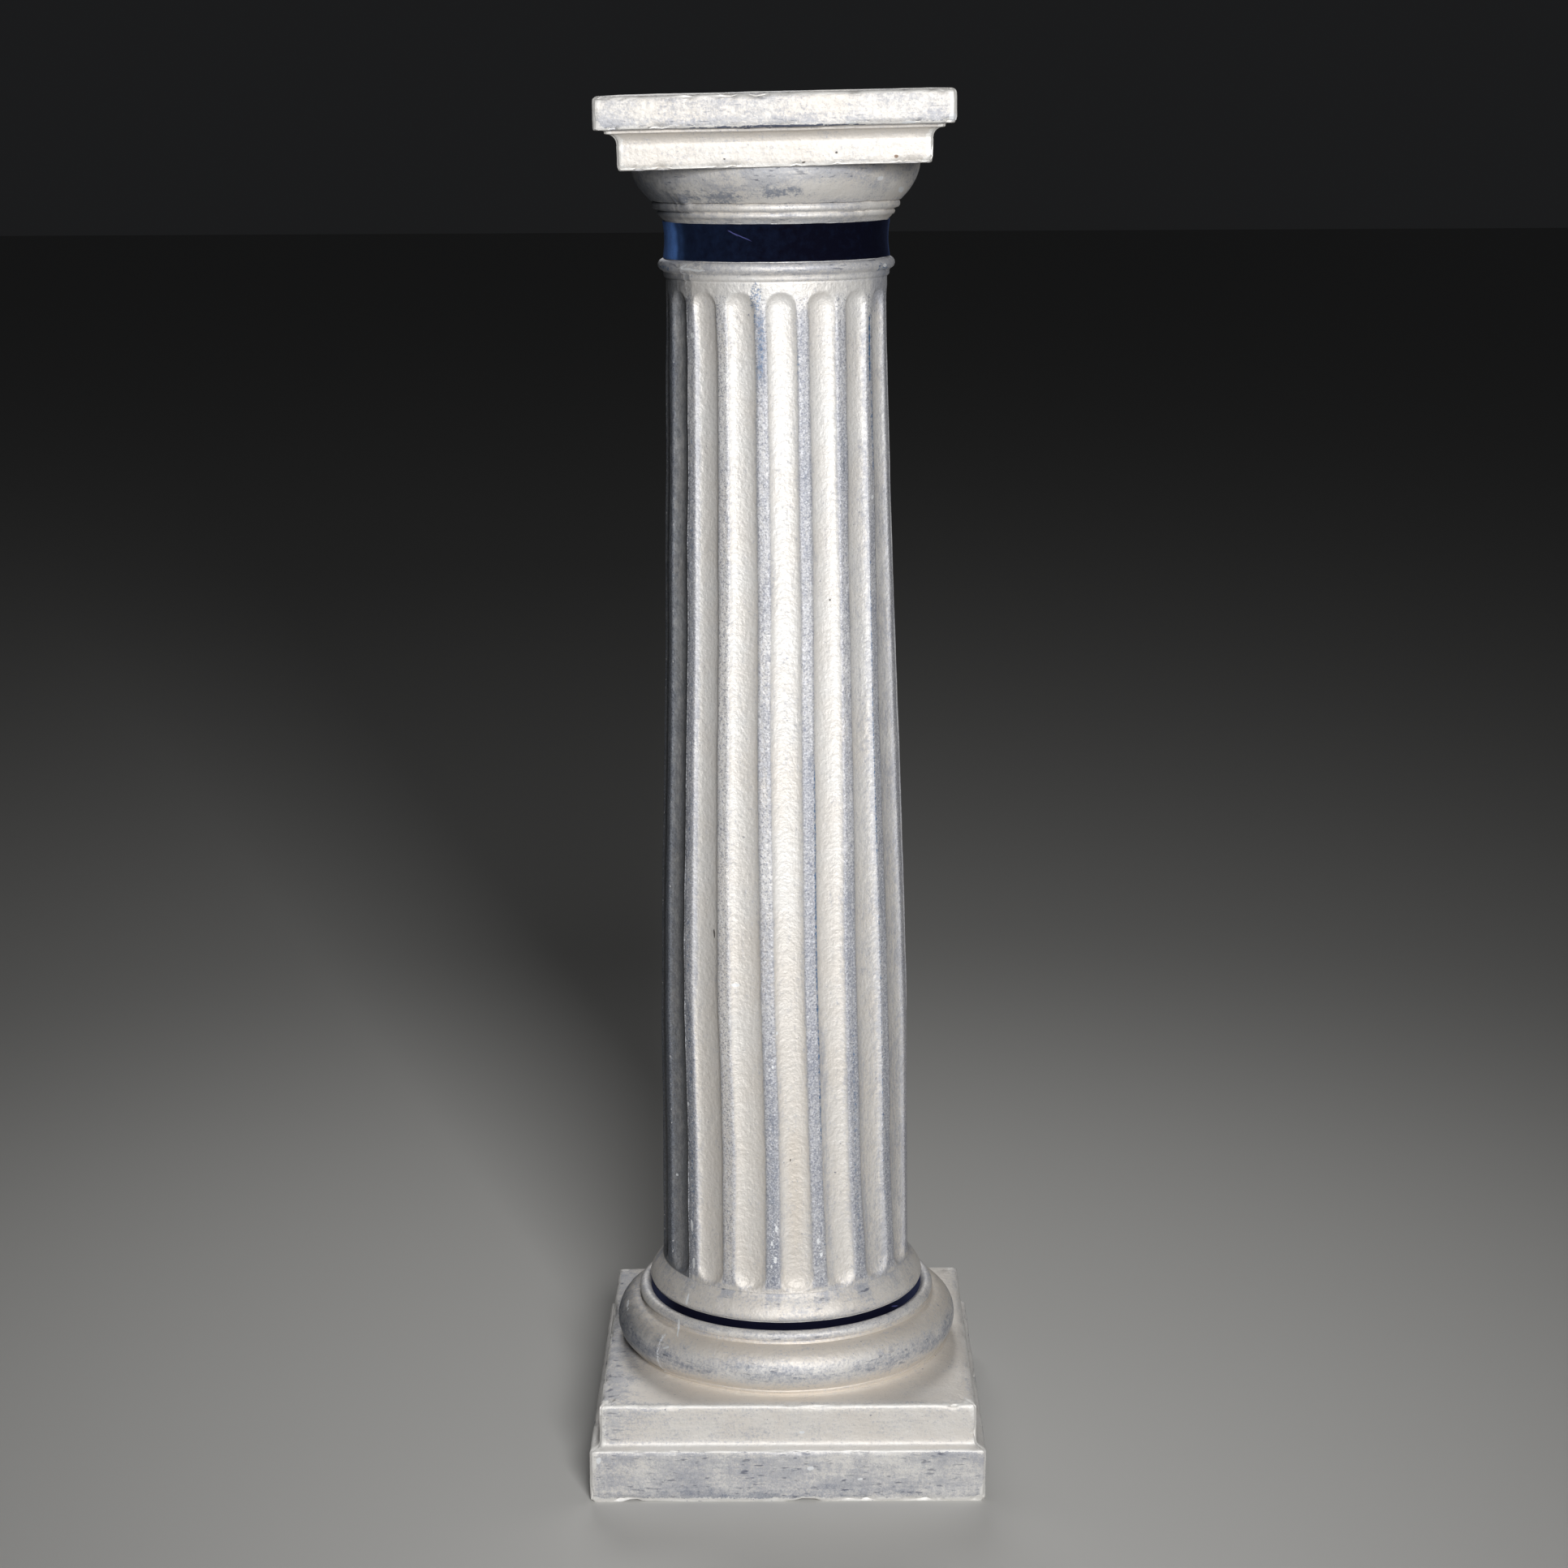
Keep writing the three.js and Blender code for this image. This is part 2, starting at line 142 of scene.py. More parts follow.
def fbm(x, y, z, size, seed, octaves=3, gain=0.5):
    """Noise of several sizes; size is the largest cell, in mm."""
    out, amp, total = 0.0, 1.0, 0.0
    for k in range(octaves):
        s = size / 2 ** k
        out = out + amp * noise(x / s + 17.3 * k, y / s - 9.1 * k, z / s + 4.7 * k, seed + 31 * k)
        total += amp
        amp *= gain
    return out / total * 1.6


def bump(d, width):
    """1 at distance 0, falling to 0 over about two widths."""
    return np.exp(-(d / width) ** 2)


def step(x, lo, hi):
    t = np.clip((x - lo) / (hi - lo), 0, 1)
    return t * t * (3 - 2 * t)


def arc(r, z, radius, start, end, steps):
    return [(r + radius * math.cos(math.radians(a)), z + radius * math.sin(math.radians(a)))
            for a in np.linspace(start, end, steps + 1)]


def refine(points, longest):
    """Splits the long legs of a profile."""
    out = [points[0]]
    for p, q in zip(points[:-1], points[1:]):
        n = max(1, math.ceil(math.hypot(q[0] - p[0], q[1] - p[1]) / longest))
        out += [(p[0] + (q[0] - p[0]) * k / n, p[1] + (q[1] - p[1]) * k / n) for k in range(1, n + 1)]
    return out


# ------------------------------------------------------------------ one ring
# every ring has 20 points to a flute; the same columns of points run from the
# underside to the top, square in plan at both ends and round between
HALF_PARTS = [0.0, 0.075, 0.125, 0.150, 0.165, 0.19, 0.23, 0.28, 0.34, 0.41]
PARTS = np.array(HALF_PARTS + [0.5] + [1 - p for p in HALF_PARTS[:0:-1]])
PER = len(PARTS)
N = FLUTES * PER
COLUMN = np.arange(N)
FLUTE_OF, PART_OF = COLUMN // PER, PARTS[COLUMN % PER]
FLUTE_HALF = FLUTE_SHARE / 2


WANDER_TABLE = np.array([WANDER.get(k, WANDER_ALL) for k in range(FLUTES)], float)


def flute_mid(k, t):
    z = FLUTE_FOOT + (FLUTE_HEAD - FLUTE_FOOT) * t
    strays = np.array([float(along(np.stack([WANDER_Z, w], 1), z)) for w in WANDER_TABLE])
    return (strays[k % FLUTES] + FIRST_FLUTE_FOOT_DEG + (FIRST_FLUTE_HEAD_DEG - FIRST_FLUTE_FOOT_DEG) * t + k * 360 / FLUTES
            + DRIFT_FOOT[k % FLUTES] * (1 - t) + DRIFT_HEAD[k % FLUTES] * t)


def round_angles(z):
    """Angles of the ring's points, in degrees, at a height."""
    t = min(max((z - FLUTE_FOOT) / (FLUTE_HEAD - FLUTE_FOOT), 0), 1)
    low = (flute_mid(FLUTE_OF - 1, t) + flute_mid(FLUTE_OF, t)) / 2
    high = (flute_mid(FLUTE_OF, t) + flute_mid(FLUTE_OF + 1, t)) / 2
    # k * 360 / FLUTES keeps growing with k, so the ends meet a full turn on
    low = np.where(FLUTE_OF == 0, (flute_mid(-1, t) + flute_mid(0, t)) / 2, low)
    return low + (high - low) * PART_OF


SHIFT = -5                                    # column 0 is about 5.3 degrees left of the front
EVEN_ANGLES = (COLUMN + SHIFT) * 360.0 / N


def circle(r, z, even=0.0):
    a = np.radians(round_angles(z) * (1 - even) + EVEN_ANGLES * even)
    return r * np.sin(a), -r * np.cos(a)


def square(half, corner):
    """corner: radius of each of the four corners (front right, back right, back left, front left)."""
    per = N // 4
    s = COLUMN + SHIFT
    side = np.floor((s + per / 2) / per).astype(int)
    t = s - side * per
    at = np.abs(t)
    flat = 37.0
    which = np.where(t >= 0, side, side - 1) % 4
    rc = np.asarray(corner, float)[which]
    u = np.clip(at / flat, 0, 1)
    u = u + 0.30 * np.sin(np.pi * u) / np.pi
    phi = np.radians(np.clip((at - flat) / (per / 2 - flat), 0, 1) * 45)
    lx = np.sign(t) * ((half - rc) * u + rc * np.sin(phi))
    ly = half - rc + rc * np.cos(phi)
    a = np.radians(side * 90.0)
    return lx * np.cos(a) + ly * np.sin(a), lx * np.sin(a) - ly * np.cos(a)


rows = []                                     # x, y, z, r, kind, edge weight


def add(x, y, z, r, kind):
    rows.append((x, y, np.full(N, float(z)), r, kind))


def corner_radii(z, base, amp, seed):
    return [base + amp * float(noise(np.array([k * 7.3]), np.array([0.5]), np.array([z / 9.0]), seed)[0]) for k in range(4)]


# ------------------------------------------------------------------ profile
# plinth, square
plinth = refine([(60, 0.0), (130, 0.0), (168, 0.0), (173.9, 0.0), (175.0, 0.5), (175.6, 1.6), (175.7, 3.2)], 34)
plinth += refine([(175.7, 3.2), (175.7, PLINTH_LOW_TOP - 3.0)], 3.2)[1:]
plinth += [(175.5, PLINTH_LOW_TOP - 1.7), (174.9, PLINTH_LOW_TOP - 0.7), (173.7, PLINTH_LOW_TOP - 0.1), (172.2, PLINTH_LOW_TOP + 0.15),
           (170.6, PLINTH_LOW_TOP + 0.6), (169.2, PLINTH_LOW_TOP + 1.2), (168.2, PLINTH_LOW_TOP + 2.2), (167.5, PLINTH_LOW_TOP + 3.6), (167.2, PLINTH_LOW_TOP + 5.2)]
plinth += refine([(167.2, PLINTH_LOW_TOP + 5.2), (167.0, PLINTH_TOP - 4.2)], 3.3)[1:]
plinth += [(166.75, PLINTH_TOP - 2.6), (166.1, PLINTH_TOP - 1.3), (165.0, PLINTH_TOP - 0.45), (163.3, PLINTH_TOP - 0.05), (161.5, PLINTH_TOP)]
for r, z in plinth:
    x, y = square(r, corner_radii(z, 2.6 if r < 172 else 3.2, 1.0, 11))
    add(x, y, z, r, 0)

# plinth top: from square to round
sx, sy = square(161.5, [2.5] * 4)
cx, cy = circle(TORUS_TOE_R + 0.6, PLINTH_TOP)
for s in (0.12, 0.3, 0.5, 0.7, 0.87, 1.0):
    add(sx + (cx - sx) * s, sy + (cy - sy) * s, PLINTH_TOP, TORUS_TOE_R + 13 * (1 - s), 1)

# base mouldings, round
torus = arc(TORUS_R, TORUS_Z, TORUS_RAD, -50, 80, 17)
base = [(TORUS_TOE_R - 0.6, PLINTH_TOP + 0.5), (TORUS_TOE_R - 1.6, PLINTH_TOP + 1.3)]
base += [(torus[0][0] + 0.3, torus[0][1] - 0.9)]
base += torus
base += [(BASE_BEAD_R + 4.6, TORUS_Z + TORUS_RAD - 0.15)]
base += arc(BASE_BEAD_R, BASE_BEAD_Z, BASE_BEAD_RAD, -48, 128, 8)
base += [(CINCTURE_R + 1.4, 140.4), (CINCTURE_R + 0.25, 138.6), (CINCTURE_R, 139.8), (CINCTURE_R, 144.0), (CINCTURE_R, BASE_RIBBON_HIGH + 0.3)]
base += [(LIP_R - 0.6, LIP_Z - 2.4), (LIP_R - 0.1, LIP_Z - 1.4), (LIP_R + 0.1, LIP_Z), (LIP_R - 0.3, LIP_Z + 2.2), (LIP_R - 1.3, LIP_Z + 4.8),
         (LIP_R - 2.7, LIP_Z + 7.4), (LIP_R - 4.3, LIP_Z + 9.8), (LIP_R - 6.2, LIP_Z + 12.3), (LIP_R - 8.2, LIP_Z + 14.7),
         (LIP_R - 10.0, LIP_Z + 17.0), (LIP_R - 11.2, LIP_Z + 18.9)]
for r, z in base:
    x, y = circle(r, z)
    add(x, y, z, r, 2)

# shaft
levels = [171.3, 172.4, 173.3, 174.5, 176.2, 178.3, 180.8, 183.6, 186.8, 190.5]
levels += list(np.linspace(190.5, 1040.5, 73))[1:]
levels += [1043.2, 1045.8, 1048.2, 1050.2, 1051.9, 1053.2, 1054.1, 1055.0, 1056.6, 1059.5, 1062.2]


def depth(part, z, r):
    """Flute depth with its arrises rounded over about a millimetre."""
    pitch = 2 * math.pi * r / FLUTES
    total = 0.0
    for dp, wp in ((-1.15, 1), (-0.6, 2), (0, 3), (0.6, 2), (1.15, 1)):
        across = (part + dp / pitch - 0.5) / FLUTE_HALF
        for dz in (-0.7, 0.0, 0.7):
            zz = z + dz
            end = 0.0
            if zz < FLUTE_FOOT + FLUTE_FOOT_LEN:
                end = (FLUTE_FOOT + FLUTE_FOOT_LEN - zz) / FLUTE_FOOT_LEN
            if zz > FLUTE_HEAD - FLUTE_HEAD_LEN:
                end = (zz - FLUTE_HEAD + FLUTE_HEAD_LEN) / FLUTE_HEAD_LEN
            total = total + wp * FLUTE_DEPTH * np.sqrt(np.clip(1 - across ** 2 - end ** 2, 0, 1))
    return total / 27.0


def ramp(i):
    """How far between neighbouring flutes."""
    return (i % PER) / PER


for z in levels:
    r0 = float(along(SHAFT, z))
    a = np.radians(round_angles(z))
    q = r0 - depth(PART_OF, z, r0)
    add(q * np.sin(a), -q * np.cos(a), z, r0, 3)

# neck, astragal, necking, rings, echinus
neck = [(96.2, 1064.0), (97.3, 1064.7), (98.0, 1065.8), (NECK_FILLET_R, 1067.2), (NECK_FILLET_R + 0.1, 1069.0), (NECK_FILLET_R + 0.9, 1070.3)]
neck += arc(ASTRAGAL_R, ASTRAGAL_Z, ASTRAGAL_RAD, -52, 96, 8)
mid, halfn = (NECKING_LOW + NECKING_HIGH) / 2, (NECKING_HIGH - NECKING_LOW) / 2
neck += [(NECKING_WAIST_R + NECKING_SPREAD * ((z - mid) / halfn) ** 2, z) for z in (1080.5, 1086, 1096.5, 1107, 1112.6)]
neck += [(RING_LOW_R - 0.6, RING_LOW_Z - 4.2)]
neck += arc(RING_LOW_R, RING_LOW_Z, RING_LOW_RAD, -75, 62, 5)
neck += arc(RING_HIGH_R, RING_HIGH_Z, RING_HIGH_RAD, -38, 72, 6)
bez = []
for u in np.linspace(0, 1, 15):
    b = (1 - u) ** 3 * ECHINUS[0] + 3 * u * (1 - u) ** 2 * ECHINUS[1] + 3 * u * u * (1 - u) * ECHINUS[2] + u ** 3 * ECHINUS[3]
    if b[1] < 1159.4:
        bez.append((float(b[0]), float(b[1])))
neck += [(106.2, 1129.6)] + bez
for r, z in neck:
    even = float(step(np.array(z), 1066, 1150))
    x, y = circle(r, z, even)
    add(x, y, z, r, 4)

# underside of the abacus: from round to square
cx, cy = circle(124.6, ABACUS_LOW_FOOT, 1.0)
sx, sy = square(127.6, [2.5] * 4)
for s in (0.0, 0.25, 0.5, 0.75, 1.0):
    add(cx + (sx - cx) * s, cy + (sy - cy) * s, ABACUS_LOW_FOOT, 124.6 + 3 * s, 5)

# abacus, square
cove = []
for a in np.linspace(0, 90, 7):
    w, h = CAVETTO_OUT - ABACUS_LOW_HALF, CAVETTO_TOP - ABACUS_LOW_TOP - 0.8
    cove.append((CAVETTO_OUT - w * math.cos(math.radians(a)), ABACUS_LOW_TOP + 0.8 + h * math.sin(math.radians(a))))
top = [(129.0, ABACUS_LOW_FOOT + 0.35), (129.8, ABACUS_LOW_FOOT + 1.1), (130.1, ABACUS_LOW_FOOT + 2.4)]
top += refine([(130.1, ABACUS_LOW_FOOT + 2.4), (130.4, ABACUS_LOW_TOP - 1.2)], 3.0)[1:]
top += [(130.2, ABACUS_LOW_TOP - 0.3)] + cove
top += [(CAVETTO_OUT + 0.9, CAVETTO_TOP + 0.3), (ABACUS_FILLET_HALF, CAVETTO_TOP + 1.1), (ABACUS_FILLET_HALF + 0.1, ABACUS_UP_FOOT - 0.6), (ABACUS_FILLET_HALF + 0.6, ABACUS_UP_FOOT - 0.1),
        (143.5, ABACUS_UP_FOOT - 0.05), (146.4, ABACUS_UP_FOOT), (147.7, ABACUS_UP_FOOT + 0.4), (148.4, ABACUS_UP_FOOT + 1.3), (148.7, ABACUS_UP_FOOT + 2.7)]
top += refine([(148.7, ABACUS_UP_FOOT + 2.7), (148.7, HEIGHT - 4.0)], 2.9)[1:]
top += [(148.45, HEIGHT - 2.4), (147.8, HEIGHT - 1.1), (146.6, HEIGHT - 0.3), (145.0, HEIGHT - 0.02), (141, HEIGHT), (128, HEIGHT), (100, HEIGHT), (50, HEIGHT)]
for r, z in top:
    big = z > ABACUS_UP_FOOT - 0.2
    x, y = square(r, corner_radii(z, 3.6 if big else 2.4, 1.2 if big else 0.5, 23))
    add(x, y, z, r, 6)

X = np.array([q[0] for q in rows])
Y = np.array([q[1] for q in rows])
Z = np.array([q[2] for q in rows])
R = np.array([q[3] for q in rows])[:, None] * np.ones(N)
KIND = np.array([q[4] for q in rows])[:, None] * np.ones(N, int)
ROWS = len(rows)

# ------------------------------------------------------------------ surface frame
P = np.stack([X, Y, Z], -1)
du = np.roll(P, -1, 1) - np.roll(P, 1, 1)
dv = np.zeros_like(P)
dv[1:-1] = P[2:] - P[:-2]
dv[0], dv[-1] = P[1] - P[0], P[-1] - P[-2]
NRM = np.cross(du, dv)
NRM /= np.maximum(np.linalg.norm(NRM, axis=-1, keepdims=True), 1e-9)
ANG = np.degrees(np.arctan2(X, -Y))            # 0 front, + to the right


def turn(a, b):
    """Difference of two angles in degrees, from -180 to 180."""
    return (a - b + 180) % 360 - 180


ARRIS = np.abs(PART_OF[None, :] - 0.5) - FLUTE_HALF      # below 0 in the flute, above 0 on the fillet
ARRIS = ARRIS * np.ones((ROWS, 1))
IN_SHAFT = (KIND == 3).astype(float) * step(Z, 172, 178) * (1 - step(Z, 1050, 1055))
ON_FILLET = step(ARRIS, -0.02, 0.01) * IN_SHAFT

# how near each point is to a convex edge of the square parts
per = N // 4
tcol = COLUMN + SHIFT
tcol = np.abs(tcol - np.floor((tcol + per / 2) / per) * per)
# the flat top and the underside are left whole except close to their rims
CAP = np.where((KIND == 6) & (Z > HEIGHT - 0.5), step(R, ABACUS_UP_HALF - 6, ABACUS_UP_HALF - 1), 1.0)
CAP = np.where((KIND == 0) & (Z < 0.5), step(R, PLINTH_LOW_HALF - 6, PLINTH_LOW_HALF - 1), CAP)
CORNER = step(tcol, 36.5, 41.0)[None, :] * ((KIND == 0) | (KIND == 6)) * CAP


def near(r, z, width):
    return np.exp(-(((R - r) ** 2 + (Z - z) ** 2) / width ** 2))


EDGE_LOW_TOP = near(PLINTH_LOW_HALF, PLINTH_LOW_TOP, 2.6) * (KIND == 0)
EDGE_UP_TOP = near(PLINTH_UP_HALF - 0.6, PLINTH_TOP - 0.4, 3.0) * (KIND == 0)
EDGE_FOOT = near(PLINTH_LOW_HALF, 0.8, 3.2) * (KIND == 0)
EDGE_AB_FOOT = near(ABACUS_UP_HALF, ABACUS_UP_FOOT + 0.8, 2.4) * (KIND == 6)
EDGE_AB_TOP = near(ABACUS_UP_HALF - 0.6, HEIGHT - 1.0, 2.8) * (KIND == 6)
EDGE_SLAB_FOOT = near(ABACUS_LOW_HALF, ABACUS_LOW_FOOT + 0.8, 2.2) * (KIND == 6)
EDGES = np.maximum.reduce([EDGE_LOW_TOP, EDGE_UP_TOP, EDGE_FOOT, EDGE_AB_FOOT, EDGE_AB_TOP, EDGE_SLAB_FOOT])

# ------------------------------------------------------------------ irregularity
low = fbm(X, Y, Z, 75, 3, 2)
midn = fbm(X, Y, Z, 24, 5, 2)
small = fbm(X, Y, Z, 9, 7, 2)
D = 0.40 * low + 0.12 * midn + 0.06 * small
flat_out = ((KIND == 0) & (R > 160)) | ((KIND == 6) & (R > 129))
D = np.where(flat_out, 0.30 * (low - 0.9) + 0.22 * (midn - 0.8) + 0.10 * (small - 0.8), D)
D = np.where((KIND == 4) & (Z > 1079) & (Z < 1113), 0.05 * small - 0.05, D)           # under the wide ribbon
D = np.where((KIND == 2) & (Z > 138) & (Z < 148.8) & (R < 126), 0.0, D)               # under the narrow ribbon
D = np.where((KIND == 0) & (Z < 1e-6), 0.0, D)

# chipped edges of the square parts
chips = step(fbm(X, Y, Z, 13, 41, 3, 0.7), 0.15, 0.95)
D -= (2.8 * chips + 0.5 + 0.5 * fbm(X, Y, Z, 30, 42, 2)) * EDGES * (Z > 0.01)
D -= (3.4 * step(fbm(X, Y, Z, 10, 43, 3, 0.7), 0.15, 1.0) + 0.6) * CORNER
rings = (KIND == 4) & (Z > 1113.5) & (Z < 1131)
D += np.where(rings, 0.34 * fbm(X, Y, Z * 0.6, 15, 45, 2), 0.0)
D += np.where((KIND == 4) & (Z > 1069) & (Z < 1080), 0.16 * fbm(X, Y, Z, 11, 46, 2), 0.0)
# arrises of the flutes aren't crisp
arris_w = bump(ARRIS, 0.022) * IN_SHAFT
D -= arris_w * (0.12 + 0.22 * fbm(X, Y, Z * 0.35, 9, 47, 2))

# parting seam of the mould, front left and opposite
SEAM_COLS = {14 * PER + 18: 1.0, 6 * PER + 2: 0.8}
seam = np.zeros_like(D)
for col, height in SEAM_COLS.items():
    line = 0.45 + 0.75 * step(fbm(X[:, col], Y[:, col], Z[:, col], 13, 53, 2), -0.2, 0.9)
    seam[:, col] = height * line
seam *= KIND != 2
for col, height in {15 * PER: 1.0, 6 * PER: 0.8}.items():
    line = 0.55 + 0.75 * step(fbm(X[:, col], Y[:, col], Z[:, col], 13, 54, 2), -0.2, 0.9)
    seam[:, col] = np.where(KIND[:, col] == 2, height * line, seam[:, col])
seam *= (KIND >= 2) & (KIND <= 4)
seam *= 1 - ((Z > 1079.5) & (Z < 1113.5)) * 1.0
seam *= 1 - ((Z > 137.5) & (Z < 149.5) & (R < 128)) * 1.0
D += seam * np.where(KIND == 3, 0.35, 0.62)

# lump where the seam runs over the rings, and a run of paint at the right
lump = np.exp(-(turn(ANG, -44.5) / 3.2) ** 2 - ((Z - 1131) / 8.0) ** 2) + 0.7 * np.exp(-(turn(ANG, 45.5) / 1.7) ** 2 - ((Z - 1120) / 3.2) ** 2)
D += 1.5 * lump * (KIND == 4)

P = P + NRM * D[..., None]
X, Y, Z0 = P[..., 0], P[..., 1], P[..., 2]

# notches in the lower front edge and the broken front right foot corner
front = step(-Y, 160, 172)
notch = (1.9 * step(-np.abs(X + 137), -9, -5) + 2.1 * step(-np.abs(X - 17), -12, -7)
         + 0.5 * step(fbm(X, Y * 0, Z0 * 0, 40, 61, 2), 0.0, 0.8)) * front
lift = np.clip(1 - Z0 / 7.0, 0, 1) * (KIND == 0)
Z1 = Z0 + notch * lift
cornerx = np.clip((X - Y - 345.5) / 6.0, 0, 1) * np.clip(1 - Z0 / 5.5, 0, 1) * (KIND == 0)
Z1 = Z1 + 4.0 * cornerx

X2, Z2 = settle(X, Z1)
EPS = 0.02
X2 = np.clip(X2, cad_lo.x / MM + EPS, cad_hi.x / MM - EPS)
Y2 = np.clip(Y, cad_lo.y / MM + EPS, cad_hi.y / MM - EPS)
Z2 = np.clip(Z2, 0.0, cad_hi.z / MM - EPS)

# ------------------------------------------------------------------ paint
# values from 0 to 1 kept on the points and read by the material:
# grey: how much of the blue-grey coat shows through the cream one, and painted shade down the flanks and the sides of
# the mouldings
# blue: strong blue; chip: bare white plaster; worn: rubbed edges, and painted highlight where edges catch the light;
# dark: dirt, and painted shade at the left flank and sides
U, W = fbm(X, Y, Z, 60, 71, 3), fbm(X, Y, Z, 22, 73, 3)
zz, aa = Z, ANG
grey = np.full_like(D, 0.30)
face = KIND == 0
lowb = face & (zz < PLINTH_LOW_TOP - 0.5)
upb = face & (zz > PLINTH_LOW_TOP + 3.0)
ROUND = fbm(X * 0.32, Y * 0.32, Z, 15, 83, 3, 0.6)       # blotches drawn out sideways by the brush
grey = np.where(lowb, 0.47 + 0.10 * step(-zz, -26, -4) + 0.20 * ROUND + 0.08 * W, grey)
grey = np.where(upb, 0.19 + 0.16 * ROUND + 0.30 * step(-X, 90, 170), grey)
grey = np.where(face & ~lowb & ~upb, 0.03 + 0.06 * W, grey)
# painted shade: the plinth top is greyed towards its left end, away from the light
grey = np.where(KIND == 1, 0.03 + 0.08 * W + 0.46 * step(-X, 110, 165), grey)
# torus, bead, lip and shoulder
belly = bump(zz - 112, 12)
# painted shade: the torus is greyed towards its left side, away from the light
grey = np.where(KIND == 2, 0.10 + 0.38 * belly + 0.22 * ROUND * belly + 0.22 * step(-aa, 45, 80), grey)
grey = np.where((KIND == 2) & (zz > 132) & (zz < 144), 0.34 + 0.2 * ROUND, grey)
grey = np.where((KIND == 2) & (zz > 148.5), 0.18 + 0.12 * W + 0.14 * (1 - step(zz, 151, 156)) + 0.16 * step(zz, 160, 171), grey)
grey += 0.46 * step(ARRIS, -0.04, 0.02) * step(zz, 152, 170) * (KIND == 2) * (0.6 + 0.6 * W)
# shaft
C0 = (FLUTE_OF + PART_OF)[None, :] * np.ones((ROWS, 1))
SH = (KIND == 3).astype(float)
fil = step(ARRIS, -0.035, 0.015)
fade = 1 - step(zz, 1030, 1052)
low_shaft = 1 - step(zz, 180, 470)
grey = np.where(KIND == 3, 0.10 + 0.07 * W + fil * (0.36 + 0.12 * U + 0.10 * low_shaft) * fade + 0.10 * step(ARRIS, -0.16, -0.03) * fade, grey)
grey = np.where((KIND == 3) & (zz < 176), 0.32 + 0.2 * W, grey)
# capital
grey = np.where(KIND == 4, 0.32 + 0.22 * ROUND, grey)
# painted shade: the astragal is greyer towards both sides, where the light falls off
side_shade = step(np.abs(aa), 40, 75)
grey = np.where((KIND == 4) & (zz > 1069) & (zz < 1081), 0.40 + 0.38 * side_shade + 0.15 * W, grey)
# painted shade: the echinus is greyer towards both sides, more at the left, where the light falls off
grey = np.where((KIND == 4) & (zz > 1130), 0.34 + 0.44 * ROUND + 0.12 * U + 0.26 * step(-aa, 30, 70) + 0.12 * step(aa, 30, 70), grey)
grey = np.where(KIND == 5, 0.5, grey)
slab = (KIND == 6) & (zz > ABACUS_UP_FOOT - 0.3)
grey = np.where(KIND == 6, 0.15 + 0.06 * W, grey)
grey = np.where(slab, 0.24 + 0.10 * W + 0.16 * ROUND + 0.24 * step(-zz, -1206, -1193) + 0.30 * step(-X, 105, 148) * step(-zz, -1210, -1198), grey)

warm = np.zeros_like(D)
warm = np.where(KIND == 1, 0.34, warm)
warm = np.where((KIND == 2) & (zz < 135), np.clip(0.80 - 0.9 * belly, 0, 1), warm)
warm = np.where((KIND == 2) & (zz > 149), 0.32 + 0.2 * W, warm)
warm = np.where(KIND == 3, 0.30 * (1 - step(zz, 300, 800)) + 0.10 * U, warm)
warm = np.where(upb, 0.22, warm)
warm = np.where(KIND == 6, 0.30, warm)
warm = np.where((KIND == 6) & (zz > 1180.5) & (zz < ABACUS_UP_FOOT - 0.3), 0.45, warm)
warm = np.where((KIND == 4) & (zz > 1113), 0.20 + 0.2 * U, warm)
deepm = np.zeros_like(D)
deepm = np.where(lowb, 0.12 + 0.22 * step(-zz, -26, -4), deepm)
deepm = np.where(KIND == 2, 0.45 * belly, deepm)
# painted shade: the deep tone grows towards both sides of the rings and echinus
deepm = np.where((KIND == 4) & (zz > 1113), 0.40 * step(np.abs(aa), 35, 75), deepm)
flatm = (KIND != 3).astype(float)
blue = np.zeros_like(D)
chip = np.zeros_like(D)
dark = np.zeros_like(D)


def mark(into, a, z, da, dz, amount):
    """A soft patch round an angle and height."""
    k = np.exp(-(np.abs(turn(ANG, a)) / da) ** 3 - (np.abs(Z - z) / dz) ** 3) * amount
    np.maximum(into, k, out=into)


def stripe(into, c, z0, z1, width, amount, soft=12.0):
    """A stripe between two heights; c counts flutes round the shaft, a whole number is the middle of a fillet."""
    d = np.abs((C0 - c + FLUTES / 2) % FLUTES - FLUTES / 2)
    k = np.exp(-(d / width) ** 2) * step(Z, z0 - soft, z0 + soft) * (1 - step(Z, z1 - soft, z1 + soft)) * amount
    np.maximum(into, k * SH, out=into)


more = np.zeros_like(D)
# fillets, counted to the right from the one left of the middle flute
stripe(more, 16, 860, 960, 0.13, 0.14)
stripe(more, 17, 975, 1035, 0.12, 0.45)
stripe(more, 17, 180, 620, 0.13, 0.22)
stripe(more, 17, 180, 440, 0.13, 0.42)
stripe(more, 1, 860, 1040, 0.13, 0.22)
stripe(more, 1, 180, 660, 0.13, 0.22)
stripe(more, 2, 885, 945, 0.13, 0.42)
stripe(more, 2, 380, 560, 0.16, 0.20)
stripe(more, 2, 180, 430, 0.17, 0.30)
stripe(more, 3, 180, 800, 0.12, 0.25)
stripe(more, 15, 180, 900, 0.12, 0.30)
stripe(more, 1.28, 180, 420, 0.10, 0.30)
stripe(more, 2.30, 180, 420, 0.08, 0.22)
grey += more * fade
less = np.zeros_like(D)
stripe(less, 16, 175, 1035, 0.15, 0.44, 25)
stripe(less, 16, 650, 800, 0.15, 0.62, 30)
stripe(less, 17, 500, 650, 0.13, 0.46, 30)
stripe(less, 17, 440, 960, 0.13, 0.15, 25)
stripe(less, 17, 330, 640, 0.13, 0.34, 25)
grey -= less
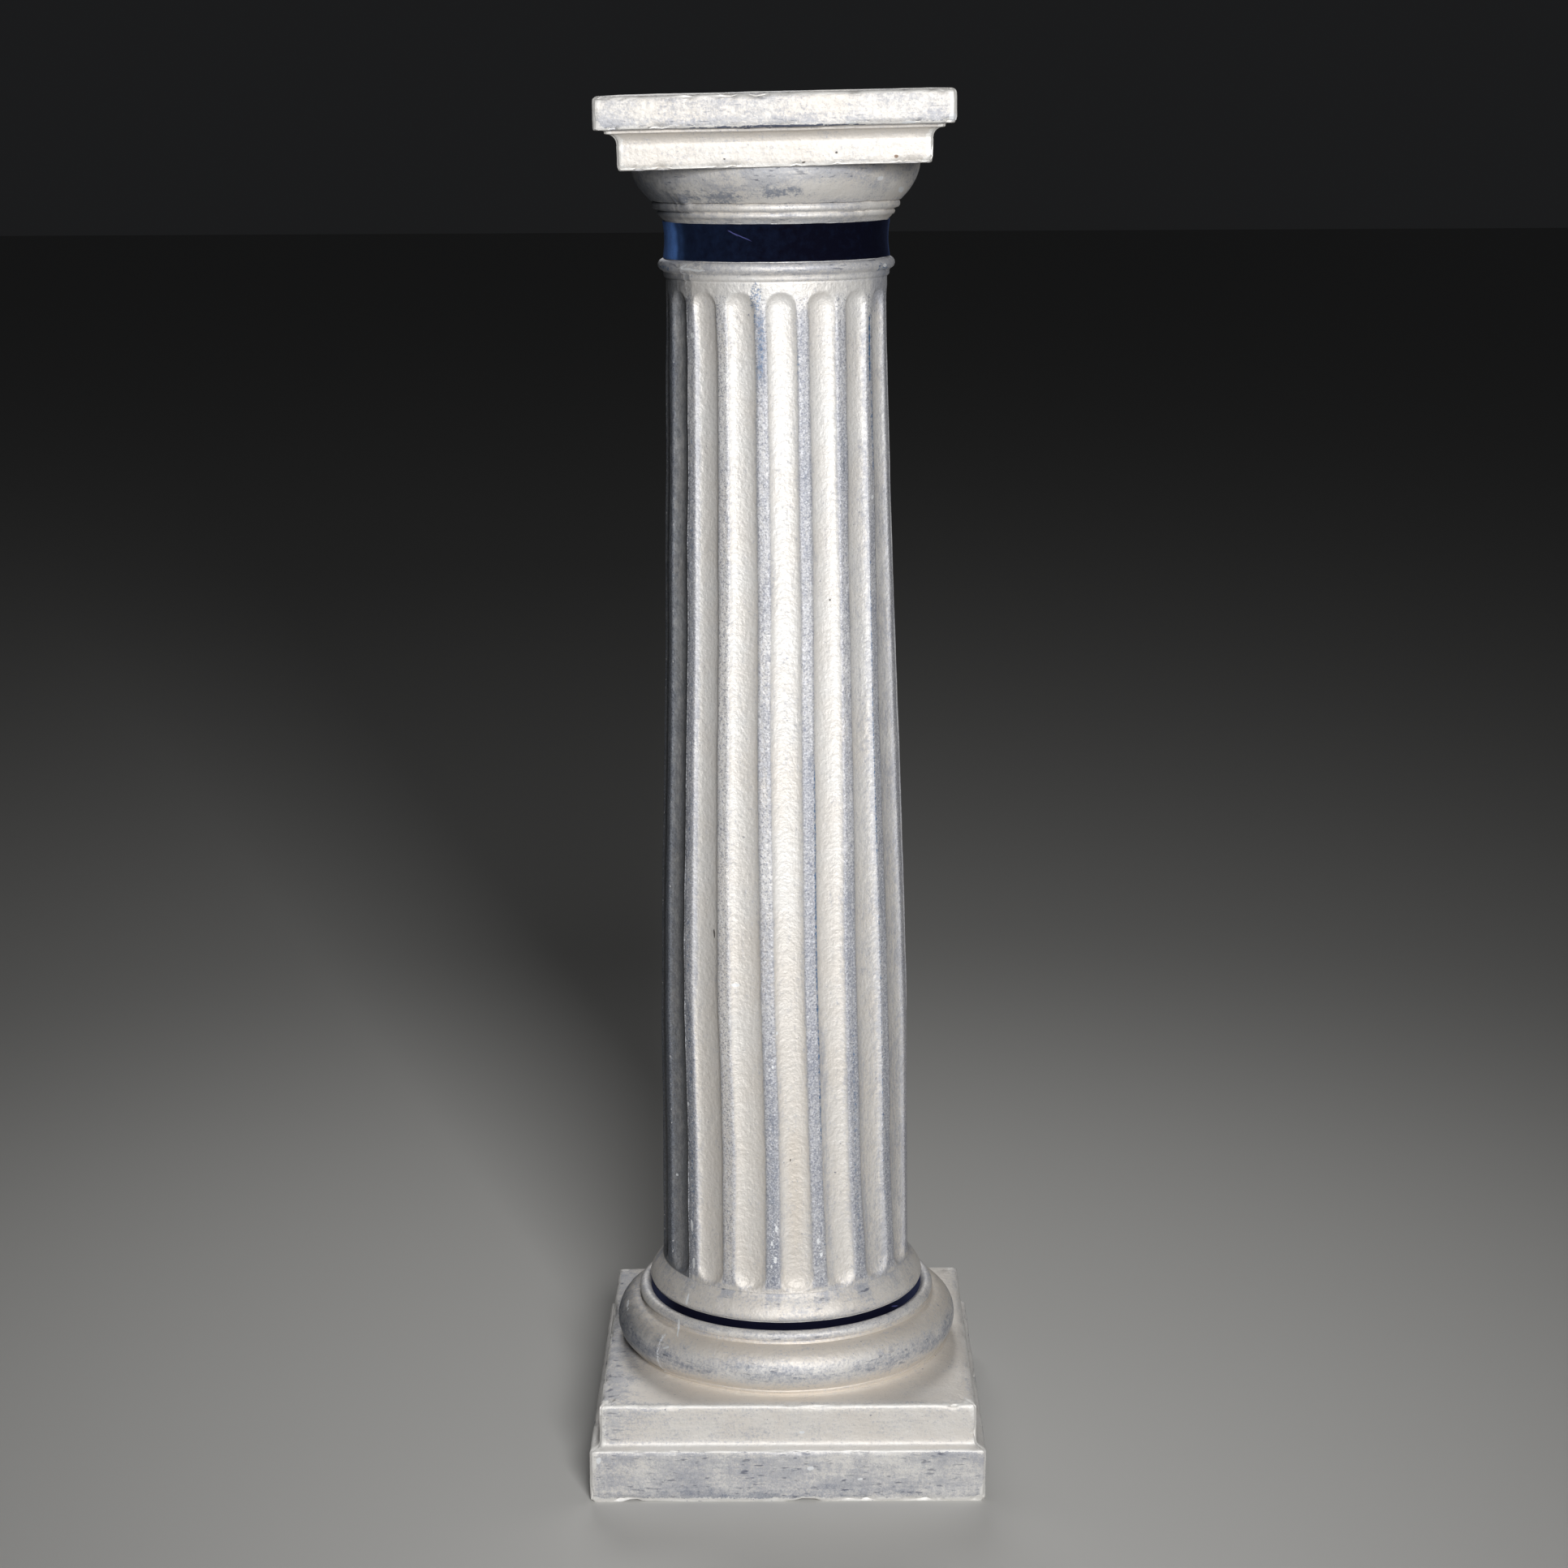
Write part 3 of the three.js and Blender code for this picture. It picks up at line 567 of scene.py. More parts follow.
# painted shade: the flutes are greyed down the right flank, where the light falls off, and the arrises that turn
# towards the light on both sides are greyed too
flank = np.clip(step(aa, 24, 62) * (1 - step(aa, 100, 120)), 0, 1) * SH * (ARRIS < 0)
grey += 0.26 * flank * (1 - 0.5 * step(zz, 850, 1000))
# the front flute is a little greyer in its middle, from 620 to 1010 mm
stripe(grey, 0.5, 620, 1010, 0.30, 0.21, 40)
# painted shade: these arrises face the light and are greyed to dim their highlight
stripe(grey, 15.18, 430, 1035, 0.06, 0.60, 25)
stripe(grey, 16.18, 480, 1030, 0.05, 0.22, 25)
stripe(grey, 2.83, 190, 1035, 0.05, 0.50, 25)
# painted shade on the right flank of the collar and the neck
collar_right = step(aa, 50, 66) * (1 - step(aa, 100, 120)) * ((KIND == 3) & (zz > 1030) | (KIND == 4) & (zz < 1070))
grey += 0.62 * collar_right * step(zz, 1030, 1052)
stripe(blue, 0.86, 975, 1015, 0.035, 0.42, 20)
stripe(blue, 17, 985, 1030, 0.09, 0.40)
stripe(blue, 1.135, 300, 665, 0.032, 0.50, 25)
stripe(blue, 1.135, 190, 300, 0.025, 0.38, 25)
stripe(blue, 2.99, 974, 1038, 0.055, 0.64)
stripe(blue, 3.05, 885, 980, 0.045, 0.56)
stripe(blue, 2.88, 540, 830, 0.035, 0.44, 30)
stripe(blue, 2.88, 190, 540, 0.030, 0.36, 30)
stripe(blue, 15.03, 190, 950, 0.055, 0.38, 20)
stripe(blue, 15.03, 190, 440, 0.100, 0.36, 20)
stripe(blue, 2.02, 200, 420, 0.070, 0.36, 30)
stripe(dark, 2, 885, 945, 0.10, 0.40)
stripe(dark, 15.02, 185, 440, 0.11, 0.40)
stripe(chip, 17, 190, 250, 0.10, 0.40, 8)
stripe(chip, 17, 360, 400, 0.10, 0.36, 8)
stripe(chip, 1, 195, 240, 0.10, 0.36, 8)
stripe(chip, 15, 190, 960, 0.09, 0.30, 8)
stripe(warm, 0.5, 190, 330, 0.25, 0.70, 30)
# painted shade: the shaft is darker left of the seam, down the left flank
left = np.where(aa < 0, 1 - step(C0, 14.84, 14.90), 0.0) * step(C0, 12.0, 13.2)
dark = np.maximum(dark, (0.76 + 0.02 * W + 0.08 * (1 - step(zz, 500, 900)) - 0.16 * bump(C0 - 14.35, 0.16)) * left * SH * (1 - step(zz, 1040, 1056)))
# painted shade on the left flank of the collar and the neck
collar_left = step(-aa, 47.2, 49.0) * (1 - step(-aa, 95, 120))
dark = np.maximum(dark, (0.54 + 0.28 * step(-aa, 50, 76)) * collar_left * ((KIND == 3) & (zz > 1038) | (KIND == 4) & (zz < 1070)))
# capital patches
mark(deepm, -41, 1137, 12, 8, 1.0)
mark(deepm, -22, 1133, 14, 7, 1.15)
mark(deepm, 4, 1137, 13, 7, 1.1)
mark(deepm, 8, 1127, 12, 3, 0.85)
# painted shade at the left side of the echinus, the capital and the torus
mark(deepm, -78, 1140, 20, 14, 0.8)
mark(dark, -88, 1132, 50, 26, 0.88)
mark(dark, -88, 112, 42, 26, 0.62)
echinus = (KIND == 4) & (zz > 1131)
deepm = np.maximum(deepm, 0.56 * step(ROUND + 0.5 * W, 0.16, 0.80) * echinus * (1 - step(zz, 1136, 1150)))
pale = np.zeros_like(D)
mark(pale, 31, 1141, 15, 8, 0.9)
grey *= 1 - 0.8 * pale
mark(blue, 64, 1073.5, 9, 5, 0.44)
mark(blue, -70, 1073.5, 16, 4, 0.40)
col_seam = 14 * PER + 18
run = np.clip(step(Z[:, col_seam], 1010, 1014) + 1 - step(Z[:, col_seam], 950, 960), 0, 1) * (KIND[:, col_seam] == 3)
chip[:, col_seam] = np.maximum(chip[:, col_seam], 0.58 * run)
dark[:, col_seam + 1] = np.maximum(dark[:, col_seam + 1], 0.50 * run)
col_base = 15 * PER
chip[:, col_base] = np.where((KIND[:, col_base] == 2) & (Z[:, col_base] < 128) & (Z[:, col_base] > 90), 0.62, chip[:, col_base])
grey = np.clip(grey, 0, 1)
warm = np.clip(warm, 0, 1)

turned = np.maximum(np.abs(X), np.abs(Y)) - np.minimum(np.abs(X), np.abs(Y))      # mm to the upright corner
# rubbed pale edges and corners, and painted highlight where the top edges and upright corners catch the light
worn_and_highlit = np.clip(EDGES * 1.05 + CORNER * 0.55 + (1 - step(turned, 3.0, 9.0)) * ((KIND == 0) | (KIND == 6)) * CAP * (0.75 + 0.6 * W), 0, 1)
worn_and_highlit = np.maximum(worn_and_highlit, 0.35 * bump(ARRIS, 0.02) * IN_SHAFT)

# ------------------------------------------------------------------ the mesh
def grid_mesh(name, x, y, z, low_cap, high_cap, attrs):
    rws, n = x.shape
    co = np.stack([x, y, z], -1).reshape(-1, 3)
    extra = [low_cap, high_cap]
    co = np.vstack([co, np.array(extra)]) * MM
    i = np.arange(rws - 1)[:, None] * n + np.arange(n)[None, :]
    j = np.arange(rws - 1)[:, None] * n + (np.arange(n)[None, :] + 1) % n
    quads = np.stack([i, j, j + n, i + n], -1).reshape(-1, 4)
    k = np.arange(n)
    base_ids = np.stack([k, np.full(n, rws * n), (k + 1) % n], -1)
    top0 = (rws - 1) * n
    top_ids = np.stack([top0 + k, top0 + (k + 1) % n, np.full(n, rws * n + 1)], -1)
    me = bpy.data.meshes.new(name)
    faces = [tuple(q) for q in quads.tolist()] + [tuple(t) for t in base_ids.tolist()] + [tuple(t) for t in top_ids.tolist()]
    me.from_pydata(co.tolist(), [], faces)
    me.polygons.foreach_set("use_smooth", np.ones(len(me.polygons), bool))
    me.set_sharp_from_angle(angle=math.radians(42))
    for key, values in attrs.items():
        a = me.attributes.new(key, "FLOAT", "POINT")
        v = values.reshape(-1)
        a.data.foreach_set("value", np.concatenate([v, [v[0], v[-1]]]).astype(np.float32))
    me.update()
    ob = bpy.data.objects.new(name, me)
    bpy.context.scene.collection.objects.link(ob)
    return ob


top_z = float(Z2[-1].mean())
column = grid_mesh("column_casting", X2, Y2, Z2, (0, 0, 0.0), (float(X2[-1].mean()), 0, top_z),
                   dict(grey=grey, blue=blue, chip=chip, worn_and_highlit=worn_and_highlit, dark=dark, fillet=ON_FILLET,
                        flat=flatm, warm=warm, deep=deepm))
print("rows", ROWS, "points", N, "triangles", sum(len(p.vertices) - 2 for p in column.data.polygons))

# ------------------------------------------------------------------ ribbons
RN = 240


def ribbon(name, inner, low_z, high_z, levels, seed):
    """A closed thin ring of cloth. Returns the object, the angle of each point and its height across the ribbon from 0
    to 1.
    """
    a = np.arange(RN) / RN * 2 * np.pi
    zs = np.linspace(0, 1, levels)
    inside, outside = [], []
    for u in zs:
        z = low_z + (high_z - low_z) * u
        r = inner(z)
        sx_, cx_ = np.sin(a), np.cos(a)
        wob = 0.12 * fbm(100 * sx_, 100 * cx_, np.full(RN, z), 9, seed, 2)
        zw = np.full(RN, z)
        if u == 0 or u == 1:
            zw = zw + (0.16 * fbm(100 * sx_, 100 * cx_, np.full(RN, z * 3), 12, seed + 5, 2) - 0.2) * (1 if u == 1 else -1)
        round_edge = 0.28 if u in (0, 1) else 0.0
        inside.append((r + RIBBON_GAP + round_edge * 0.5, zw))
        outside.append((r + RIBBON_GAP + RIBBON_THICK - round_edge - 0.05 + 0.5 * wob, zw))
    ring = inside + outside[::-1]
    rr = np.array([np.broadcast_to(q[0], RN) for q in ring])
    zz_ = np.array([q[1] for q in ring])
    x, y = rr * np.sin(a), -rr * np.cos(a)
    x, zz_ = settle(x, zz_)
    rws = len(ring)
    co = np.stack([x, y, zz_], -1).reshape(-1, 3) * MM
    i = np.arange(rws)[:, None] * RN + np.arange(RN)[None, :]
    j = np.arange(rws)[:, None] * RN + (np.arange(RN)[None, :] + 1) % RN
    i2 = ((np.arange(rws) + 1) % rws)[:, None] * RN + np.arange(RN)[None, :]
    j2 = ((np.arange(rws) + 1) % rws)[:, None] * RN + (np.arange(RN)[None, :] + 1) % RN
    quads = np.stack([i, i2, j2, j], -1).reshape(-1, 4)
    me = bpy.data.meshes.new(name)
    me.from_pydata(co.tolist(), [], [tuple(q) for q in quads.tolist()])
    me.polygons.foreach_set("use_smooth", np.ones(len(me.polygons), bool))
    me.set_sharp_from_angle(angle=math.radians(50))
    ang = np.degrees(a)[None, :] * np.ones((rws, 1))
    ang = (ang + 180) % 360 - 180
    hgt = np.broadcast_to(np.array([(q - low_z) / (high_z - low_z) for q in np.array([np.mean(w[1]) for w in ring])])[:, None], ang.shape)
    ob = bpy.data.objects.new(name, me)
    bpy.context.scene.collection.objects.link(ob)
    return ob, ang, hgt


def put(me, key, values):
    a = me.attributes.new(key, "FLOAT", "POINT")
    a.data.foreach_set("value", np.ascontiguousarray(values).reshape(-1).astype(np.float32))


neck_r = lambda z: NECKING_WAIST_R + NECKING_SPREAD * ((z - mid) / halfn) ** 2
neck_ribbon, nang, nh = ribbon("neck_ribbon_cloth", neck_r, NECK_RIBBON_LOW, NECK_RIBBON_HIGH, 13, 91)
base_ribbon, bang, bh = ribbon("base_ribbon_cloth", lambda z: CINCTURE_R, BASE_RIBBON_LOW, BASE_RIBBON_HIGH, 7, 97)
# painted sheen on the wide ribbon: a lighter blue patch at the left, a pale rim at the right and a faint blush over the
# left half, where the velvet catches the light
cloud = fbm(nang * 0.6, nh * 24, nh * 0, 12, 99, 3)
thread = fbm(nang * 2.2, nh * 3, nh * 0, 12, 101, 2)
patch = 0.84 * step(-nang + 2.0 * cloud, 59, 64) + 0.09 * step(-nang + 1.5 * cloud, 51, 57) + 0.12 * thread * step(-nang, 48, 60)
patch *= 1 - 0.30 * step(nh, 0.80, 1.0) - 0.25 * step(-nh, -0.12, 0.0)
blush = 0.045 * (1 - step(nang, -70, 25))
rim = step(nang, 80, 90) * 0.45
put(neck_ribbon.data, "painted_sheen", np.clip((np.maximum(patch, rim) + blush) * (1 - step(np.abs(nang), 92, 126)), 0, 1))
# painted sheen on the narrow ribbon, lighter towards both sides
put(base_ribbon.data, "painted_sheen", np.clip(0.5 * step(-bang, 50, 75) + 0.35 * step(bang, 45, 75), 0, 1) * (np.abs(bang) < 115))

# ------------------------------------------------------------------ materials
class Tree:
    """A small helper for node materials."""

    def __init__(self, name):
        self.m = bpy.data.materials.new(name)
        self.m.use_nodes = True
        self.t = self.m.node_tree
        self.t.nodes.clear()
        self.out = self.t.nodes.new("ShaderNodeOutputMaterial")
        self.bsdf = self.t.nodes.new("ShaderNodeBsdfPrincipled")
        self.t.links.new(self.bsdf.outputs[0], self.out.inputs[0])
        self.co = self.t.nodes.new("ShaderNodeTexCoord").outputs["Object"]

    def link(self, a, b):
        self.t.links.new(a, b)

    def set(self, socket, v):
        if hasattr(v, "is_linked") or hasattr(v, "links"):
            self.t.links.new(v, socket)
        else:
            socket.default_value = v

    def attr(self, name):
        n = self.t.nodes.new("ShaderNodeAttribute")
        n.attribute_name = name
        return n.outputs["Fac"]

    def math(self, op, a, b=0.0, clamp=False):
        n = self.t.nodes.new("ShaderNodeMath")
        n.operation = op
        n.use_clamp = clamp
        self.set(n.inputs[0], a)
        self.set(n.inputs[1], b)
        return n.outputs[0]

    def add(self, a, b, clamp=False):
        return self.math("ADD", a, b, clamp)

    def mul(self, a, b, clamp=False):
        return self.math("MULTIPLY", a, b, clamp)

    def ramp(self, v, lo, hi, a=0.0, b=1.0):
        n = self.t.nodes.new("ShaderNodeMapRange")
        n.interpolation_type = "SMOOTHSTEP"
        n.clamp = True
        self.set(n.inputs["Value"], v)
        n.inputs["From Min"].default_value = lo
        n.inputs["From Max"].default_value = hi
        n.inputs["To Min"].default_value = a
        n.inputs["To Max"].default_value = b
        return n.outputs[0]

    def mapped(self, sx, sy, sz, ox=0.0, oy=0.0, oz=0.0):
        n = self.t.nodes.new("ShaderNodeMapping")
        self.link(self.co, n.inputs["Vector"])
        n.inputs["Scale"].default_value = (sx, sy, sz)
        n.inputs["Location"].default_value = (ox, oy, oz)
        return n.outputs[0]

    def noise(self, scale, detail=2.0, rough=0.5, vec=None, distortion=0.0):
        n = self.t.nodes.new("ShaderNodeTexNoise")
        n.noise_dimensions = "3D"
        self.link(vec if vec is not None else self.co, n.inputs["Vector"])
        n.inputs["Scale"].default_value = scale
        n.inputs["Detail"].default_value = detail
        n.inputs["Roughness"].default_value = rough
        n.inputs["Distortion"].default_value = distortion
        return n.outputs["Fac"]

    def vec(self, op, a, b=None, scale=None):
        n = self.t.nodes.new("ShaderNodeVectorMath")
        n.operation = op
        self.link(a, n.inputs[0])
        if b is not None:
            self.set(n.inputs[1], b)
        if scale is not None:
            n.inputs["Scale"].default_value = scale
        return n

    def stray(self, scale, amount):
        """Object coordinates pushed about by a noise, for marks with uneven outlines."""
        n = self.t.nodes.new("ShaderNodeTexNoise")
        self.link(self.co, n.inputs["Vector"])
        n.inputs["Scale"].default_value = scale
        n.inputs["Detail"].default_value = 3.0
        push = self.vec("SCALE", self.vec("SUBTRACT", n.outputs["Color"], (0.5, 0.5, 0.5)).outputs[0], scale=amount)
        self.strayed = self.vec("ADD", self.co, push.outputs[0]).outputs[0]
        self.before = None

    def blobs(self, marks):
        """Marks given as (x, y, z, half width, half height, tilt in degrees), in mm."""
        total = None
        for count, (x, y, z, rx, rz, tilt) in enumerate(marks):
            if count % 4 == 0:
                # every fourth mark waits for the ones before it, so that few values are held at a time
                wait = self.vec("MULTIPLY_ADD", self.before or self.strayed, (0.0, 0.0, 0.0))
                self.link(self.strayed, wait.inputs[2])
            n = self.t.nodes.new("ShaderNodeMapping")
            n.vector_type = "TEXTURE"
            self.link(wait.outputs[0], n.inputs["Vector"])
            n.inputs["Location"].default_value = (x * MM, y * MM, z * MM)
            n.inputs["Rotation"].default_value = (0, math.radians(tilt), 0)
            n.inputs["Scale"].default_value = (rx * MM, 0.022, rz * MM)
            one = self.ramp(self.vec("LENGTH", n.outputs[0]).outputs["Value"], 1.25, 0.75)
            total = one if total is None else self.math("MAXIMUM", total, one)
            self.before = total
        return total

    def mix(self, f, a, b, blend="MIX"):
        n = self.t.nodes.new("ShaderNodeMix")
        n.data_type = "RGBA"
        n.blend_type = blend
        self.set(n.inputs[0], f)
        self.set(n.inputs[6], a)
        self.set(n.inputs[7], b)
        return n.outputs[2]


def srgb(r, g, b):
    f = lambda c: c / 255 / 12.92 if c / 255 <= 0.04045 else ((c / 255 + 0.055) / 1.055) ** 2.4
    return (f(r), f(g), f(b), 1.0)


# single marks on the front: x, y, z, half width, half height (mm), tilt (degrees)
WHITE_MARKS = [
    (-76.6, -65, 1018, 1.6, 2.6, 0), (-9.5, -112.7, 232, 1.1, 2.6, 5), (-13.2, -112.7, 218, 1.0, 2.2, -8), (-10.4, -112.7, 203, 1.2, 3.4, 6), (-14, -112.7, 196, 1.0, 1.6, 0),
    (27.8, -109.4, 219, 1.1, 3, 0), (30.5, -109, 206, 1.2, 1.8, 10), (-84.4, -77, 186, 1.2, 5, 0),
    (-44.2, -102.7, 454, 3.6, 1.6, 8), (76.9, -57.8, 878, 1.3, 1.6, 0), (-11.8, -112, 382, 1.0, 1.4, 0),
    (-7.8, -112, 412, 1.0, 1.2, 0), (-85.4, -75.7, 222, 1.0, 5.5, 0), (-99.6, -55.5, 260, 1.2, 1.3, 0), (-87.9, -72, 335, 1.0, 2.0, 0),
    (-98.2, -97.8, 134, 0.9, 6.5, 4), (-90.3, -85.6, 155, 0.9, 5.5, 18), (-109, -106, 119, 3.2, 0.9, -25),
    (-147.6, -37.3, 128, 1.4, 4.0, 20), (82.8, -83, 1149.2, 2.2, 1.5, -20), (101.2, -41, 1138.5, 2.2, 2.4, 0),
    (-77.1, -72.4, 1073.4, 14, 1.0, 4), (-84, -60, 1075.5, 4.5, 0.9, -25), (87.5, -42.3, 1074.6, 1.6, 1.5, 0),
    (20.3, -175.6, 32, 3.0, 2.0, 0), (12.5, -167.1, 62, 2.6, 1.2, 0), (64, -175.6, 21, 2.4, 1.0, 0),
    (-167, -175.6, 40, 2.2, 3.2, 0), (139.6, -148.7, 1199, 3.0, 3.5, 0), (104, -148.7, 1194.5, 5.5, 1.2, 0), (57, -148.6, 1194.4, 5.0, 1.0, 0)]
BLUE_MARKS = [(-22.2, -94.5, 1052, 5.0, 13, 4), (-19.5, -94.5, 1034, 4.5, 9, -6), (-17.7, -96, 1010, 4.2, 17, 0), (-19.5, -96, 990, 3.0, 9, 5)]
DARK_MARKS = [(45.6, -130.3, 1170.8, 1.0, 0.8, 0), (18.3, -130.2, 1163.4, 1.6, 0.7, -20), (40, -91.8, 793, 0.9, 0.9, 0), (-62.5, -91.9, 497, 0.6, 4, 0),
              (-46, -130.3, 1166.5, 0.8, 0.6, 0), (64, -113, 352, 0.7, 2.0, 0), (3, -113, 295, 0.6, 1.4, 10)]
RUST_MARKS = [(94.2, -130.2, 1167.3, 1.9, 1.3, 0)]
# painted shade: a dark blue line along the foot of the top slab
SLAB_FOOT_SHADE_MARKS = [(-2, -148.6, 1192.4, 78, 1.15, -1.0)]


def plaster_material():
    t = Tree("painted_plaster")
    t.stray(90, 0.0035)
    grey_a, blue_a, chip_a, worn_and_highlit_a, dark_a = [t.attr(k) for k in ("grey", "blue", "chip", "worn_and_highlit", "dark")]
    flat_a, warm_a, deep_a, fil_a = [t.attr(k) for k in ("flat", "warm", "deep", "fillet")]
    big = t.noise(24, 3, 0.55)
    med = t.noise(105, 5, 0.62)
    mot = t.noise(300, 5, 0.70)
    fine = t.noise(640, 3, 0.65)
    grain = t.noise(1400, 2, 0.6)
    up = t.noise(380, 4, 0.62, t.mapped(1, 1, 0.13))
    across = t.noise(380, 4, 0.62, t.mapped(0.13, 0.13, 1))
    streak = t.add(t.mul(up, t.add(1.0, t.mul(flat_a, -1.0))), t.mul(across, flat_a))
    # coat of blue-grey under brushed cream; the grey value also carries painted shade down the flanks and the sides of
    # the mouldings
    g = t.add(grey_a, t.mul(t.add(med, -0.5), 0.55))
    g = t.add(g, t.mul(t.add(mot, -0.5), 1.15))
    g = t.add(g, t.mul(t.add(streak, -0.5), 0.60))
    g = t.add(g, t.mul(t.add(fine, -0.5), t.add(t.add(0.35, t.mul(fil_a, 1.1)), t.mul(flat_a, 0.55))))
    cream = t.mix(t.ramp(big, 0.35, 0.65), srgb(240, 238, 235), srgb(238, 234, 229))
    cream = t.mix(warm_a, cream, srgb(223, 213, 200))
    lav = t.mix(t.ramp(big, 0.35, 0.65), srgb(204, 204, 207), srgb(193, 194, 200))
    deep = t.mix(t.ramp(med, 0.35, 0.65), srgb(154, 159, 170), srgb(140, 147, 163))
    col = t.mix(t.ramp(g, 0.12, 0.66), cream, lav)
    d = t.add(t.add(g, t.mul(deep_a, 0.7)), -0.25)
    col = t.mix(t.mul(t.ramp(d, 0.45, 0.95), 0.85), col, deep)
    # speckle on the grey: pale and dark pinheads
    on = t.ramp(grey_a, 0.15, 0.60)
    col = t.mix(t.mul(t.ramp(fine, 0.56, 0.68), t.mul(on, 0.62)), col, srgb(230, 231, 234))
    col = t.mix(t.mul(t.ramp(mot, 0.43, 0.30), t.mul(on, 0.50)), col, srgb(122, 129, 147))
    col = t.mix(t.mul(t.ramp(fine, 0.49, 0.38), t.mul(fil_a, 0.68)), col, srgb(122, 128, 150))
    col = t.mix(t.mul(t.ramp(fine, 0.53, 0.63), t.mul(fil_a, 0.62)), col, srgb(240, 241, 245))
    # pinholes in the cream
    pin = t.ramp(t.noise(700, 1, 0.4, t.mapped(1, 1, 0.8, 3.1, 1.7, 0.4)), 0.30, 0.22)
    col = t.mix(t.mul(pin, 0.26), col, srgb(124, 120, 114))
    # dashes left by the brush and by wear on the square parts
    dash = t.ramp(t.noise(420, 2, 0.5, t.mapped(0.22, 0.22, 1, 2.3, 0.9, 1.1)), 0.40, 0.29)
    col = t.mix(t.mul(t.mul(dash, flat_a), t.mul(on, 0.75)), col, srgb(98, 104, 122))
    # strong blue
    bl = t.ramp(t.add(blue_a, t.mul(t.add(mot, -0.5), 1.1)), 0.30, 0.55)
    col = t.mix(bl, col, srgb(88, 124, 164))
    # dirt and painted shade, rubbed edges with painted highlight, and bare chips
    dk = t.ramp(t.add(dark_a, t.mul(t.add(med, -0.5), 0.5)), 0.15, 0.85)
    col = t.mix(t.mul(dk, 0.8), col, t.mix(t.ramp(fine, 0.4, 0.6), srgb(62, 70, 84), srgb(104, 112, 124)))
    wn = t.ramp(t.add(worn_and_highlit_a, t.mul(t.add(mot, -0.5), 2.0)), 0.46, 0.66)
    col = t.mix(t.mul(wn, 0.90), col, srgb(247, 245, 241))
    ch = t.ramp(t.add(chip_a, t.mul(t.add(fine, -0.5), 1.7)), 0.44, 0.58)
    col = t.mix(ch, col, srgb(244, 246, 250))
    # single marks: blue strokes, dirt, rust, a line of painted shade under the top slab, bare plaster
    bm = t.add(t.mul(t.blobs(BLUE_MARKS), 0.5), t.add(t.mul(t.add(fine, -0.5), 1.9), t.mul(t.add(mot, -0.5), 1.2)))
    col = t.mix(t.mul(t.ramp(bm, 0.38, 0.66), 0.85), col, srgb(132, 150, 178))
    col = t.mix(t.mul(t.blobs(DARK_MARKS), 0.85), col, srgb(62, 56, 52))
    col = t.mix(t.mul(t.blobs(RUST_MARKS), 0.8), col, srgb(134, 98, 70))
    # painted shade along the foot of the top slab
    edge = t.ramp(t.add(t.blobs(SLAB_FOOT_SHADE_MARKS), t.mul(t.add(t.noise(210, 3, 0.6), -0.5), 3.0)), 0.55, 0.95)
    col = t.mix(t.mul(edge, 0.85), col, srgb(58, 74, 110))
    bare = t.blobs(WHITE_MARKS)
    bare = t.ramp(t.add(bare, t.mul(t.add(fine, -0.5), 1.2)), 0.45, 0.65)
    col = t.mix(bare, col, srgb(246, 248, 250))
    t.link(col, t.bsdf.inputs["Base Color"])
    rough = t.add(0.62, t.mul(t.ramp(g, 0.1, 1.0), 0.04))
    rough = t.add(rough, t.mul(t.add(mot, -0.5), 0.25))
    rough = t.add(rough, t.mul(ch, 0.15), True)
    t.link(rough, t.bsdf.inputs["Roughness"])
    t.bsdf.inputs["Metallic"].default_value = 0.46
    t.bsdf.inputs["Specular IOR Level"].default_value = 0.5
    # grain of the plaster and the brush, heights in millimetres
    h = t.add(t.mul(t.noise(260, 4, 0.55), 0.80), t.mul(med, 0.85))
    h = t.add(h, t.mul(streak, 0.22))
    h = t.add(h, t.mul(fine, 0.12))
    h = t.mul(h, t.add(1.0, t.mul(flat_a, -0.48)))
    b = t.t.nodes.new("ShaderNodeBump")
    b.inputs["Strength"].default_value = 1.0
    b.inputs["Distance"].default_value = 0.001
    t.link(h, b.inputs["Height"])
    t.link(b.outputs[0], t.bsdf.inputs["Normal"])
    return t.m


def velvet_material(name, core, shine, tint, lint):
    t = Tree(name)
    t.stray(120, 0.0016)
    painted_sheen = t.attr("painted_sheen")
    fine = t.noise(1300, 2, 0.6)
    med = t.noise(160, 3, 0.6)
    # the painted sheen lightens the core towards the shine colour
    f = t.math("MULTIPLY", t.add(painted_sheen, t.mul(t.mul(t.add(med, -0.5), 0.5), t.add(painted_sheen, 0.1))), 1.0, True)
    col = t.mix(f, core, shine)
    col = t.mix(t.mul(t.ramp(fine, 0.45, 0.75), 0.35), col, (col_scale(core, 1.8)))
    col = t.mix(t.mul(t.blobs(lint), 0.6), col, srgb(96, 98, 160))
    t.link(col, t.bsdf.inputs["Base Color"])
    t.bsdf.inputs["Roughness"].default_value = 0.92
    t.bsdf.inputs["Specular IOR Level"].default_value = 0.08
    t.bsdf.inputs["Sheen Weight"].default_value = 0.05
    t.bsdf.inputs["Sheen Roughness"].default_value = 0.35
    t.bsdf.inputs["Sheen Tint"].default_value = tint
    b = t.t.nodes.new("ShaderNodeBump")
    b.inputs["Strength"].default_value = 0.5
    b.inputs["Distance"].default_value = 0.0003
    t.link(t.add(fine, t.mul(med, 0.6)), b.inputs["Height"])
    t.link(b.outputs[0], t.bsdf.inputs["Normal"])
    return t.m


def col_scale(c, k):
    return (c[0] * k, c[1] * k, c[2] * k, 1.0)


